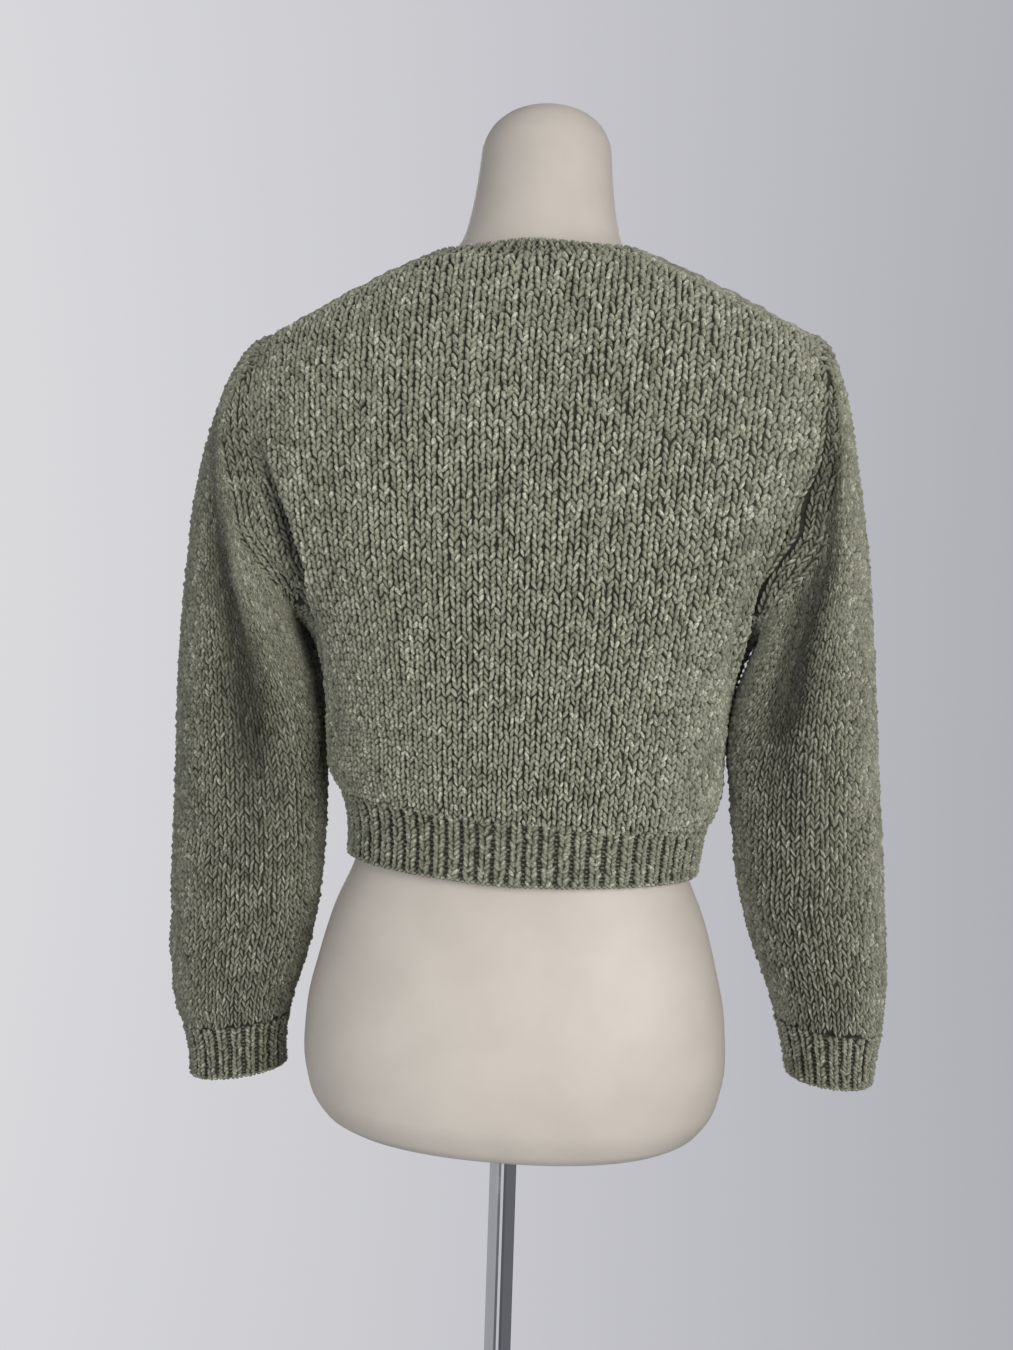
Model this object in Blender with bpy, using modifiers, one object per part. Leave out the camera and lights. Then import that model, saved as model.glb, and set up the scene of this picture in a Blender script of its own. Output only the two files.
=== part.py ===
"""Cropped chunky-knit cardigan on a limbless dress form, which stands on a pole and a round base.

Metres, +Z up.  The wearer's front faces -Y and the wearer's left is +X.  The origin is the centre of
the base's underside, on the floor.

The form is one closed loft of ovals.  The cloth is a wall round a middle surface, which lies a small
gap outside the form and stands off it further down by the ease that the cut gives.  A place on the
form or on the body's cloth is an angle in plan, in degrees from +X towards the back (+Y), and a
height above the form's underside.  Each sleeve is a tube of rings between an outer and an inner line.
"""
import math

import bpy
from mathutils import Vector

# ---------------------------------------------------------------- driving dimensions
BASE_RADIUS = 0.150          # round floor plate
BASE_THICKNESS = 0.008
BASE_EDGE = 0.0025           # rounding of the plate's rim
BOSS_RADIUS = 0.021          # socket boss that the pole stands in
BOSS_HEIGHT = 0.022          # above the plate
POLE_RADIUS = 0.00975
FORM_LIFT = 0.322            # underside of the form above the floor
FORM_SHIFT = (-0.003, -0.022)  # the form's middle line in plan, from the pole's
CLEARANCE = 0.0003           # between pieces that meet

CLOTH_THICKNESS = 0.004      # chunky chenille knit
CLOTH_GAP = 0.0013           # form to the inside of the cloth, where it rests
SEAM = 0.0003                # between two pieces sewn together
HEM_HEIGHT = 0.190           # heights above the form's underside
RIB_TOP = 0.236              # where the body ends and the ribbed hem starts
ARMHOLE_BOTTOM = 0.368
ARMHOLE_TOP = 0.582
ARMHOLE_BACK = 33.0          # how far the armhole reaches round to the back and front, in degrees
ARMHOLE_FRONT = 32.0
ARMHOLE_FULLNESS = 0.65      # power of its outline: 1 is an ellipse, less is squarer
SHOULDER_SEAM_END = 28.0     # where the shoulder seam meets the armhole, in degrees round the sleeve
SHOULDER_SEAM_NECK = 40.0    # where it meets the neckline, in degrees round the body
NECKBAND_WIDTH = 0.016
NECKBAND_PITCH = 0.0085
NECK_LEAN = -0.0008          # the form's neck leans this far to the wearer's right
RIB_HEIGHT = 0.0022          # relief of the ribs on hem and cuffs
BAND_RIB_HEIGHT = 0.0014     # relief of the ribs on the neckband and the front band
RIB_CREST = (0.22, 0.78)     # where a rib's flat crest starts and ends, over its width
HEM_RIBS_BACK = 32
HEM_RIBS_FRONT = 14          # on each side of the front bands
CUFF_RIBS = 22
BAND_HALF_WIDTH = 0.015      # front bands, 30 mm wide
BAND_THICKNESS = 0.0034
BAND_RIBS = 3
BAND_ROWS = 18
UNDER_BAND_EDGE = 0.0125     # the under band stops short of the edge of the band over it
LAP_REACH = 0.016            # width of front cloth that rises to lie over the under band
BUTTON_ROWS = (1, 5, 9, 13, 17)  # rows of the band's points that the buttons sit on
BUTTON_RADIUS = 0.009
BUTTON_THICKNESS = 0.0036
BUTTON_STEPS = 16

FORM_STEPS = 36              # points round each ring of the form
BACK_COLUMNS = (0.0, 0.024, 0.05, 0.08, 0.115, 0.16, 0.21, 0.265, 0.325, 0.39, 0.46)
FRONT_COLUMNS = 10
SIDE_SEAM_ROWS = 7
SHOULDER_SEAM_ROWS = 5
ARMHOLE_BACK_ROWS = 9        # armhole points from the underarm up the back to the shoulder seam
ARMHOLE_FRONT_ROWS = 11      # and on over the top and down the front

# The form, ring by ring from its underside to the top of the neck stump.
# Columns: height, half_width, centre, back, front, power.
FIGURE_ROWS = (
    (0.0000, 0.1120, 0.010, 0.070, 0.070, 2.2),
    (0.0040, 0.1270, 0.010, 0.083, 0.083, 2.2),
    (0.0120, 0.1385, 0.010, 0.091, 0.090, 2.3),
    (0.0300, 0.1500, 0.010, 0.098, 0.096, 2.3),
    (0.0600, 0.1555, 0.010, 0.100, 0.099, 2.3),
    (0.0900, 0.1540, 0.010, 0.098, 0.098, 2.3),
    (0.1250, 0.1470, 0.008, 0.093, 0.094, 2.3),
    (0.1600, 0.1375, 0.006, 0.086, 0.088, 2.3),
    (0.1950, 0.1235, 0.003, 0.078, 0.081, 2.3),
    (0.2350, 0.1150, 0.000, 0.073, 0.076, 2.3),
    (0.2700, 0.1160, -0.002, 0.073, 0.075, 2.3),
    (0.3100, 0.1245, -0.004, 0.078, 0.079, 2.3),
    (0.3500, 0.1400, -0.005, 0.085, 0.087, 2.35),
    (0.3910, 0.1600, -0.004, 0.091, 0.096, 2.4),
    (0.4400, 0.1775, -0.002, 0.095, 0.100, 2.4),
    (0.5000, 0.1905, 0.002, 0.092, 0.089, 2.4),
    (0.5450, 0.1960, 0.005, 0.083, 0.079, 2.35),
    (0.5650, 0.1970, 0.006, 0.078, 0.075, 2.3),
    (0.5780, 0.1920, 0.006, 0.074, 0.072, 2.25),
    (0.5900, 0.1765, 0.006, 0.070, 0.068, 2.2),
    (0.6050, 0.1525, 0.005, 0.065, 0.063, 2.2),
    (0.6220, 0.1205, 0.003, 0.060, 0.058, 2.2),
    (0.6360, 0.0910, 0.001, 0.056, 0.054, 2.1),
    (0.6480, 0.0695, -0.002, 0.053, 0.052, 2.0),
    (0.6620, 0.0600, -0.005, 0.051, 0.051, 2.0),
    (0.6880, 0.0545, -0.010, 0.050, 0.050, 2.0),
    (0.7120, 0.0515, -0.014, 0.049, 0.050, 2.0),
    (0.7350, 0.0495, -0.017, 0.047, 0.048, 2.0),
    (0.7490, 0.0445, -0.019, 0.042, 0.043, 2.0),
    (0.7590, 0.0350, -0.020, 0.033, 0.034, 2.0),
    (0.7650, 0.0210, -0.020, 0.020, 0.020, 2.0),
    (0.7670, 0.0080, -0.020, 0.008, 0.008, 2.0),
)

# How far the body's cloth stands off the form, beyond the gap, at its sides, back and front.
# Columns: height, side, back, front.
EASE_ROWS = (
    (0.190, 0.0002, 0.0020, 0.0015),
    (0.215, 0.0075, 0.0060, 0.0045),
    (0.236, 0.0140, 0.0105, 0.0080),
    (0.246, 0.0210, 0.0150, 0.0110),
    (0.262, 0.0265, 0.0170, 0.0130),
    (0.290, 0.0250, 0.0160, 0.0130),
    (0.320, 0.0200, 0.0130, 0.0115),
    (0.350, 0.0155, 0.0090, 0.0090),
    (0.368, 0.0145, 0.0065, 0.0065),
    (0.391, 0.0200, 0.0045, 0.0040),
    (0.415, 0.0310, 0.0030, 0.0025),
    (0.440, 0.0400, 0.0020, 0.0020),
    (0.480, 0.0410, 0.0015, 0.0020),
    (0.520, 0.0340, 0.0015, 0.0020),
    (0.545, 0.0260, 0.0012, 0.0018),
    (0.565, 0.0150, 0.0010, 0.0015),
    (0.578, 0.0080, 0.0005, 0.0010),
    (0.590, 0.0025, 0.0000, 0.0005),
    (0.605, 0.0000, 0.0000, 0.0000),
)

# How far the cloth rides up on the wearer's left and right side.
# Columns: height, left, right.
RIDE_ROWS = (
    (0.190, 0.0090, 0.0030),
    (0.236, 0.0095, -0.0095),
    (0.262, 0.0060, -0.0060),
    (0.300, 0.0000, 0.0000),
)

# The line where the panels end and the neckband starts: round the body from the centre front,
# by the shoulder, to the centre back.
# Columns: angle, height.
NECKLINE_ROWS = (
    (-90.0, 0.5740),
    (-82.0, 0.5775),
    (-72.0, 0.5890),
    (-65.0, 0.5985),
    (-52.0, 0.6130),
    (-35.0, 0.6255),
    (-20.0, 0.6310),
    (0.0, 0.6330),
    (20.0, 0.6330),
    (40.0, 0.6315),
    (60.0, 0.6285),
    (90.0, 0.6270),
)

# A soft diagonal trough in the cloth inside each armhole, where the side is pulled to the sleeve.
# Columns: angle, height.
TROUGH_PATH = ((29.0, 0.505), (41.0, 0.435), (25.0, 0.372), (10.0, 0.315))
TROUGH_DEPTH = 0.0065
TROUGH_REACH = 0.011         # half its width
DEGREE_LENGTH = 0.0021       # cloth to one degree round the side of the body

# The sleeves' middle surface: each ring's outer and inner point, then its reach to back and front.
# Columns: outer_x, outer_z, inner_x, inner_z, centre, back, front.
LEFT_SLEEVE_ROWS = (
    (0.1990, 0.5860, 0.1650, 0.3680, 0.000, 0.053, 0.055),
    (0.2075, 0.5840, 0.1715, 0.3735, 0.000, 0.055, 0.056),
    (0.2145, 0.5750, 0.1755, 0.3745, 0.000, 0.057, 0.057),
    (0.2235, 0.5580, 0.1765, 0.3700, 0.000, 0.058, 0.058),
    (0.2330, 0.5340, 0.1750, 0.3620, 0.000, 0.058, 0.058),
    (0.2430, 0.5060, 0.1715, 0.3500, 0.000, 0.057, 0.056),
    (0.2520, 0.4700, 0.1665, 0.3350, 0.000, 0.056, 0.056),
    (0.2595, 0.4250, 0.1615, 0.3170, -0.001, 0.054, 0.055),
    (0.2655, 0.3750, 0.1575, 0.2970, -0.002, 0.051, 0.053),
    (0.2685, 0.3250, 0.1560, 0.2730, -0.003, 0.049, 0.051),
    (0.2690, 0.2750, 0.1560, 0.2450, -0.004, 0.047, 0.049),
    (0.2695, 0.2250, 0.1565, 0.2080, -0.005, 0.045, 0.047),
    (0.2705, 0.1750, 0.1585, 0.1720, -0.006, 0.043, 0.045),
    (0.2705, 0.1350, 0.1635, 0.1380, -0.007, 0.042, 0.043),
    (0.2685, 0.1000, 0.1705, 0.1080, -0.008, 0.040, 0.041),
    (0.2655, 0.0760, 0.1780, 0.0850, -0.009, 0.037, 0.038),
    (0.2575, 0.0570, 0.1835, 0.0665, -0.010, 0.033, 0.033),
    (0.2525, 0.0370, 0.1855, 0.0460, -0.010, 0.030, 0.030),
    (0.2505, 0.0185, 0.1845, 0.0275, -0.010, 0.031, 0.031),
)
RIGHT_SLEEVE_ROWS = (
    (0.1990, 0.5860, 0.1650, 0.3680, 0.000, 0.053, 0.055),
    (0.2090, 0.5820, 0.1715, 0.3735, 0.000, 0.055, 0.056),
    (0.2145, 0.5680, 0.1755, 0.3745, 0.000, 0.057, 0.057),
    (0.2200, 0.5490, 0.1765, 0.3700, 0.000, 0.058, 0.058),
    (0.2255, 0.5240, 0.1750, 0.3620, 0.000, 0.058, 0.058),
    (0.2325, 0.4930, 0.1715, 0.3500, 0.000, 0.057, 0.056),
    (0.2395, 0.4550, 0.1665, 0.3350, 0.000, 0.056, 0.056),
    (0.2455, 0.4150, 0.1615, 0.3170, -0.001, 0.054, 0.055),
    (0.2495, 0.3700, 0.1575, 0.2960, -0.002, 0.051, 0.053),
    (0.2530, 0.3250, 0.1560, 0.2740, -0.003, 0.049, 0.051),
    (0.2565, 0.2750, 0.1565, 0.2480, -0.004, 0.047, 0.049),
    (0.2605, 0.2250, 0.1600, 0.2130, -0.005, 0.045, 0.047),
    (0.2635, 0.1850, 0.1645, 0.1850, -0.006, 0.042, 0.044),
    (0.2660, 0.1500, 0.1725, 0.1540, -0.007, 0.041, 0.042),
    (0.2675, 0.1230, 0.1815, 0.1290, -0.008, 0.039, 0.040),
    (0.2665, 0.1010, 0.1895, 0.1080, -0.009, 0.036, 0.037),
    (0.2640, 0.0840, 0.1955, 0.0910, -0.010, 0.033, 0.033),
    (0.2610, 0.0650, 0.2010, 0.0705, -0.010, 0.030, 0.030),
    (0.2590, 0.0470, 0.2045, 0.0505, -0.010, 0.031, 0.031),
)
CUFF_ROW = 16                # the ring where each cuff is sewn on
# How much of the armhole's own shape the first rings keep.
ARMHOLE_FADE = (1.0, 1.0, 1.0, 0.98, 0.9, 0.74, 0.52, 0.28, 0.1)

# Long soft troughs down the back of each sleeve: ring, degrees round the sleeve and depth.
# Columns: ring, angle, depth.
LEFT_TROUGH_ROWS = ((3.0, 66.0, 0.0), (5.0, 74.0, 0.006), (7.0, 92.0, 0.008), (9.0, 104.0, 0.007),
                    (11.0, 108.0, 0.003), (12.5, 110.0, 0.0))
RIGHT_TROUGH_ROWS = ((3.0, 84.0, 0.0), (5.0, 92.0, 0.007), (7.0, 106.0, 0.010), (9.0, 112.0, 0.007),
                     (11.0, 114.0, 0.002), (12.5, 116.0, 0.0))
SLEEVE_TROUGH_REACH = 24.0   # half the trough's width, in degrees round the sleeve

OBJECT_NAME = "cropped cardigan on dress form"
LEFT, RIGHT = 1, -1


# ---------------------------------------------------------------- tables read as smooth curves
class Profile:
    """The rows of a table, joined column by column with a smooth curve that never overshoots."""

    def __init__(self, rows):
        self.keys = [row[0] for row in rows]
        self.columns = [[row[i] for row in rows] for i in range(1, len(rows[0]))]
        self.slopes = [self.column_slopes(column) for column in self.columns]

    def column_slopes(self, column):
        """Slope at each row: the harmonic mean of its two spans' slopes, or level at a turn."""
        keys = self.keys
        spans = [(column[i + 1] - column[i]) / (keys[i + 1] - keys[i]) for i in range(len(keys) - 1)]
        inner = [2 * a * b / (a + b) if a * b > 0 else 0.0 for a, b in zip(spans, spans[1:])]
        return [spans[0]] + inner + [spans[-1]]

    def at(self, key):
        """Every column's value at a key, held level beyond the table's ends."""
        keys = self.keys
        key = min(max(key, keys[0]), keys[-1])
        i = 0
        while i < len(keys) - 2 and key > keys[i + 1]:
            i += 1
        span = keys[i + 1] - keys[i]
        t = (key - keys[i]) / span
        rise = t * t * (3 - 2 * t)
        leave = t * (1 - t) * (1 - t)
        arrive = t * t * (t - 1)
        return [c[i] + (c[i + 1] - c[i]) * rise + span * (s[i] * leave + s[i + 1] * arrive)
                for c, s in zip(self.columns, self.slopes)]


FIGURE = Profile(FIGURE_ROWS)
EASE = Profile(EASE_ROWS)
RIDE = Profile(RIDE_ROWS)
NECKLINE = Profile(NECKLINE_ROWS)
TROUGHS = {LEFT: Profile(LEFT_TROUGH_ROWS), RIGHT: Profile(RIGHT_TROUGH_ROWS)}
SLEEVE_ROWS = {LEFT: LEFT_SLEEVE_ROWS, RIGHT: RIGHT_SLEEVE_ROWS}


def smooth_step(value):
    """0 below 0, 1 above 1, and a smooth rise between."""
    t = min(max(value, 0.0), 1.0)
    return t * t * (3 - 2 * t)


def mix(a, b, share):
    """The value a share of the way from a to b."""
    return a + (b - a) * share


# ---------------------------------------------------------------- the form and the body's cloth
def oval(angle, half_width, back, front, power):
    """A point of an oval in plan, at an angle in degrees from +X towards the back."""
    c = math.cos(math.radians(angle))
    s = math.sin(math.radians(angle))
    depth = back if s > 0 else front
    x = math.copysign(half_width * abs(c) ** (2 / power), c)
    y = math.copysign(depth * abs(s) ** (2 / power), s)
    return x, y


def form_point(angle, height):
    """A point on the form."""
    half_width, centre, back, front, power = FIGURE.at(height)
    x, y = oval(angle, half_width, back, front, power)
    lean = NECK_LEAN * smooth_step((height - 0.590) / 0.090)
    return Vector((FORM_SHIFT[0] + lean + x, FORM_SHIFT[1] + centre + y, FORM_LIFT + height))


def surface_normal(surface, angle, height):
    """The outward normal of a surface given by an angle and a height, from points close by."""
    across = surface(angle + 0.6, height) - surface(angle - 0.6, height)
    up = surface(angle, height + 0.0006) - surface(angle, height - 0.0006)
    return across.cross(up).normalized()


def segment_distance(point, start, end):
    """Distance in plan units from a point to a segment, and how far along it the foot lies."""
    run = (end[0] - start[0], end[1] - start[1])
    reach = (point[0] - start[0], point[1] - start[1])
    share = (run[0] * reach[0] + run[1] * reach[1]) / (run[0] ** 2 + run[1] ** 2)
    share = min(max(share, 0.0), 1.0)
    return math.hypot(reach[0] - share * run[0], reach[1] - share * run[1]), share


def trough_depth(angle, height):
    """How far the diagonal trough inside each armhole sinks the back's cloth."""
    side_angle = angle if angle <= 90 else 180 - angle
    here = (side_angle * DEGREE_LENGTH, height)
    path = [(a * DEGREE_LENGTH, h) for a, h in TROUGH_PATH]
    distances = [segment_distance(here, a, b) for a, b in zip(path, path[1:])]
    nearest = min(range(len(distances)), key=lambda i: distances[i][0])
    distance, share = distances[nearest]
    along = (nearest + share) / len(distances)
    ends = math.sin(math.pi * along) ** 0.7
    return TROUGH_DEPTH * ends * math.exp(-(distance / TROUGH_REACH) ** 2)


def ride(angle, height):
    """How far the cloth rides up at a place, most at the sides and not at all in the middle."""
    left, right = RIDE.at(height)
    c = math.cos(math.radians(angle))
    return c * left if c > 0 else -c * right


def cloth_point(angle, height):
    """A point on the middle surface of the body's cloth."""
    _, _, _, _, power = FIGURE.at(height)
    ease_side, ease_back, ease_front = EASE.at(height)
    stand = CLOTH_GAP + CLOTH_THICKNESS / 2 - trough_depth(angle, height)
    x, y = oval(angle, ease_side, ease_back, ease_front, power)
    level = height + ride(angle, height)
    normal = surface_normal(form_point, angle, level)
    return form_point(angle, level) + normal * stand + Vector((x, y, 0))


def cloth_normal(angle, height):
    """The outward normal of the body's cloth, level along the top of the ribbed hem and below."""
    normal = surface_normal(cloth_point, angle, height)
    if height <= RIB_TOP + SEAM:
        normal.z = 0
        normal.normalize()
    return normal


def lap_lift(x):
    """How far the wearer's right front rises, near its edge, to lie over the under band."""
    rise = CLOTH_THICKNESS / 2 + BAND_THICKNESS / 2 + 0.0004
    return rise * smooth_step((x + BAND_HALF_WIDTH + LAP_REACH) / LAP_REACH)


def wall_pair(angle, height, raised=0.0, lapped=False):
    """The outer and the inner point of the body's cloth, with any relief on the outer one."""
    middle = cloth_point(angle, height)
    normal = cloth_normal(angle, height)
    if lapped:
        middle = middle + normal * lap_lift(middle.x - FORM_SHIFT[0])
    half = CLOTH_THICKNESS / 2
    return middle + normal * (half + raised), middle - normal * half


def even_angles(height, start, end, count):
    """Angles that part the cloth at a height into equal lengths, count of them, ends included."""
    fine = 120
    angles = [mix(start, end, i / fine) for i in range(fine + 1)]
    points = [cloth_point(angle, height) for angle in angles]
    lengths = [0.0]
    for a, b in zip(points, points[1:]):
        lengths.append(lengths[-1] + (b - a).length)
    result = []
    j = 0
    for i in range(count + 1):
        target = lengths[-1] * i / count
        while j < fine - 1 and lengths[j + 1] < target:
            j += 1
        share = (target - lengths[j]) / (lengths[j + 1] - lengths[j])
        result.append(mix(angles[j], angles[j + 1], share))
    return result


def angle_at_x(x, height):
    """The angle on the front, between -90 and 0 or -180 and -90, where the cloth reaches an x."""
    low, high = (-90.0, -20.0) if x >= 0 else (-90.0, -160.0)
    for _ in range(40):
        middle = (low + high) / 2
        if abs(cloth_point(middle, height).x - FORM_SHIFT[0]) < abs(x):
            low = middle
        else:
            high = middle
    return (low + high) / 2


def seam_angle(height):
    """Degrees that half a seam's gap takes, round the body's side."""
    step = (cloth_point(0.5, height) - cloth_point(-0.5, height)).length
    return SEAM / 2 / step


# ---------------------------------------------------------------- armhole and sleeves
def armhole_place(turn):
    """Angle and height on the body at a turn round the armhole: 0 top, 90 back, 180 underarm."""
    c = math.cos(math.radians(turn))
    s = math.sin(math.radians(turn))
    reach = ARMHOLE_BACK if s > 0 else ARMHOLE_FRONT
    height = ARMHOLE_BOTTOM + (ARMHOLE_TOP - ARMHOLE_BOTTOM) * (1 + c) / 2
    return math.copysign(reach * abs(s) ** ARMHOLE_FULLNESS, s), height


def even_turns(start, end, count):
    """Turns that part the armhole between two turns into equal lengths, both ends included."""
    fine = 90
    turns = [mix(start, end, i / fine) for i in range(fine + 1)]
    lengths = [0.0]
    for a, b in zip(turns, turns[1:]):
        lengths.append(lengths[-1] + (armhole_point(b)[0] - armhole_point(a)[0]).length)
    result = []
    j = 0
    for i in range(count + 1):
        target = lengths[-1] * i / count
        while j < fine - 1 and lengths[j + 1] < target:
            j += 1
        share = (target - lengths[j]) / (lengths[j + 1] - lengths[j])
        result.append(mix(turns[j], turns[j + 1], share))
    return result


def armhole_turns():
    """Turns of the armhole's points: underarm, up the back to the shoulder seam, over, down the front."""
    back = even_turns(180.0, SHOULDER_SEAM_END, ARMHOLE_BACK_ROWS)
    front = even_turns(SHOULDER_SEAM_END, -180.0, ARMHOLE_FRONT_ROWS)
    return back[:-1] + front[:-1]


def mirrored(point, side):
    """A point of the wearer's left side, taken to the side asked for."""
    return Vector((FORM_SHIFT[0] + side * (point.x - FORM_SHIFT[0]), point.y, point.z))


def armhole_point(turn):
    """A point of the armhole on the left, and the cloth's normal there."""
    angle, height = armhole_place(turn)
    return cloth_point(angle, height), cloth_normal(angle, height)


def ring_values(side, ring):
    """The sleeve's columns at any place between its rings, on a smooth curve through them."""
    rows = SLEEVE_ROWS[side]
    i = min(max(int(math.floor(ring)), 0), len(rows) - 2)
    t = ring - i
    before, here = rows[max(i - 1, 0)], rows[i]
    after, beyond = rows[i + 1], rows[min(i + 2, len(rows) - 1)]
    values = []
    for a, b, c, d in zip(before, here, after, beyond):
        curve = 2 * b + (c - a) * t + (2 * a - 5 * b + 4 * c - d) * t * t + (3 * b - a - 3 * c + d) * t ** 3
        values.append(curve / 2)
    return values


def ring_oval(side, ring, turn):
    """A point of a plain ring on the left, before the armhole's shape and the folds are added."""
    outer_x, outer_z, inner_x, inner_z, centre, back, front = ring_values(side, ring)
    c = math.cos(math.radians(turn))
    s = math.sin(math.radians(turn))
    depth = back if s > 0 else front
    x = (outer_x + inner_x) / 2 + (outer_x - inner_x) / 2 * c
    z = (outer_z + inner_z) / 2 + (outer_z - inner_z) / 2 * c
    return Vector((FORM_SHIFT[0] + x, FORM_SHIFT[1] + centre + depth * s, FORM_LIFT + z))


def armhole_share(ring):
    """How much of the armhole's own shape is left at a ring."""
    last = len(ARMHOLE_FADE) - 1
    if ring >= last:
        return ARMHOLE_FADE[last] * max(0.0, 1 - (ring - last))
    i = int(ring)
    return mix(ARMHOLE_FADE[i], ARMHOLE_FADE[i + 1], ring - i)


def sleeve_surface(side, ring, turn):
    """A point of the sleeve's middle surface without its folds, as if it were on the left."""
    point = ring_oval(side, ring, turn)
    share = armhole_share(ring)
    if share > 0:
        point = point + (armhole_point(turn)[0] - ring_oval(side, 0, turn)) * share
    return point


def sleeve_normal(side, ring, turn):
    """The sleeve's outward normal on the left, from points close by."""
    ring = min(max(ring, 0.02), len(SLEEVE_ROWS[side]) - 1.02)
    along = sleeve_surface(side, ring + 0.02, turn) - sleeve_surface(side, ring - 0.02, turn)
    around = sleeve_surface(side, ring, turn + 1) - sleeve_surface(side, ring, turn - 1)
    return along.cross(around).normalized()


def sleeve_fold(side, ring, turn):
    """How far the long trough sinks the sleeve's cloth."""
    angle, depth = TROUGHS[side].at(ring)
    return depth * math.exp(-((turn - angle) / SLEEVE_TROUGH_REACH) ** 2)


def sleeve_pair(side, ring, turn, raised=0.0, shift=0.0):
    """Outer and inner point of the sleeve's wall; shift moves both along the sleeve, for a seam."""
    if ring == 0:
        middle, normal = armhole_point(turn)
        tangent = armhole_point(turn + 1)[0] - armhole_point(turn - 1)[0]
        inward = normal.cross(tangent).normalized()
        centre = (armhole_point(0)[0] + armhole_point(180)[0]) / 2
        if inward.dot(centre - middle) < 0:
            inward.negate()
        middle = middle + inward * SEAM
    else:
        middle = sleeve_surface(side, ring, turn)
        normal = sleeve_normal(side, ring, turn)
        middle = middle - normal * sleeve_fold(side, ring, turn)
        if ring >= CUFF_ROW:
            down = sleeve_axis(side, CUFF_ROW)
            normal = (normal - down * normal.dot(down)).normalized()
            middle = middle + down * shift
    half = CLOTH_THICKNESS / 2
    return [mirrored(p, side) for p in (middle + normal * (half + raised), middle - normal * half)]


def sleeve_axis(side, ring):
    """Direction down the sleeve at a ring, square to the ring's own plane."""
    outer_x, outer_z, inner_x, inner_z = ring_values(side, ring)[:4]
    return Vector((inner_z - outer_z, 0.0, outer_x - inner_x)).normalized() * -1


# ---------------------------------------------------------------- closed walls from pairs of points
def new_object(name, vertices, faces, material, smooth=True):
    """A mesh object of the part, shaded smooth but for its sharp edges."""
    mesh = bpy.data.meshes.new(name)
    mesh.from_pydata([tuple(v) for v in vertices], [], faces)
    mesh.validate()
    if smooth:
        mesh.shade_smooth()
        mesh.set_sharp_from_angle(angle=math.radians(40))
    obj = bpy.data.objects.new(name, mesh)
    obj.data.materials.append(material)
    PART.objects.link(obj)
    return obj


def turned_over(faces):
    """The same faces seen from the other side, each still starting at its own first corner."""
    return [face[:1] + tuple(reversed(face[1:])) for face in faces]


def wall(name, rows, material, closed=False, flip=False):
    """A closed wall from rows of (outer, inner) pairs; closed joins each row's end to its start."""
    row_count, width = len(rows), len(rows[0])
    outer = [pair[0] for row in rows for pair in row]
    inner = [pair[1] for row in rows for pair in row]
    under = len(outer)
    faces = []
    columns = range(width) if closed else range(width - 1)
    for r in range(row_count - 1):
        for c in columns:
            a = r * width + c
            b = r * width + (c + 1) % width
            up_a, up_b = a + width, b + width
            faces.append((a, b, up_b, up_a))
            faces.append((under + a, under + up_a, under + up_b, under + b))
    for c in columns:
        b = (c + 1) % width
        faces.append((c, under + c, under + b, b))
        top = (row_count - 1) * width
        faces.append((top + c, top + b, under + top + b, under + top + c))
    if not closed:
        for r in range(row_count - 1):
            a, up_a = r * width, (r + 1) * width
            faces.append((a, up_a, under + up_a, under + a))
            b, up_b = a + width - 1, up_a + width - 1
            faces.append((b, under + b, under + up_b, up_b))
    if flip:
        faces = turned_over(faces)
    return new_object(name, outer + inner, faces, material)


def ribbed_wall(name, rows, material, closed=False, flip=False):
    """A closed wall with ribs.

    Each row is a list of places, one for each valley between ribs, and each place is a tuple
    (outer valley, inner valley, crest start, crest end); an open row's last place has no crest.
    """
    vertices, faces = [], []
    row_count, width = len(rows), len(rows[0])
    ribs = width if closed else width - 1
    index = {}
    for r, row in enumerate(rows):
        for c, place in enumerate(row):
            for part, point in zip(("outer", "inner", "start", "end"), place):
                index[r, c, part] = len(vertices)
                vertices.append(point)
    for c in range(ribs):
        d = (c + 1) % width
        for r in range(row_count - 1):
            chain = [(c, "outer"), (c, "start"), (c, "end"), (d, "outer")]
            for (c1, p1), (c2, p2) in zip(chain, chain[1:]):
                faces.append((index[r, c1, p1], index[r, c2, p2],
                              index[r + 1, c2, p2], index[r + 1, c1, p1]))
            faces.append((index[r, c, "inner"], index[r + 1, c, "inner"],
                          index[r + 1, d, "inner"], index[r, d, "inner"]))
        for r, turn in ((0, False), (row_count - 1, True)):
            floor = (index[r, c, "outer"], index[r, c, "inner"],
                     index[r, d, "inner"], index[r, d, "outer"])
            rib = (index[r, c, "outer"], index[r, d, "outer"],
                   index[r, c, "end"], index[r, c, "start"])
            for face in (floor, rib):
                faces.append(tuple(reversed(face)) if turn else face)
    if not closed:
        last = width - 1
        for r in range(row_count - 1):
            faces.append((index[r, 0, "outer"], index[r + 1, 0, "outer"],
                          index[r + 1, 0, "inner"], index[r, 0, "inner"]))
            faces.append((index[r, last, "outer"], index[r, last, "inner"],
                          index[r + 1, last, "inner"], index[r + 1, last, "outer"]))
    if flip:
        faces = turned_over(faces)
    return new_object(name, vertices, faces, material)


# ---------------------------------------------------------------- the body's panels
def panel_rows(left, right, bottom, top, shares):
    """Places (angle, height) filled in between four border lines that meet at their ends."""
    count = len(left) - 1
    rows = []
    for j in range(count + 1):
        t = j / count
        row = []
        for i, s in enumerate(shares):
            place = []
            for k in range(2):
                sideways = mix(left[j][k], right[j][k], s)
                upward = mix(bottom[i][k], top[i][k], t)
                corners = mix(mix(left[0][k], right[0][k], s), mix(left[count][k], right[count][k], s), t)
                place.append(sideways + upward - corners)
            row.append(tuple(place))
        rows.append(row)
    return rows


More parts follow.
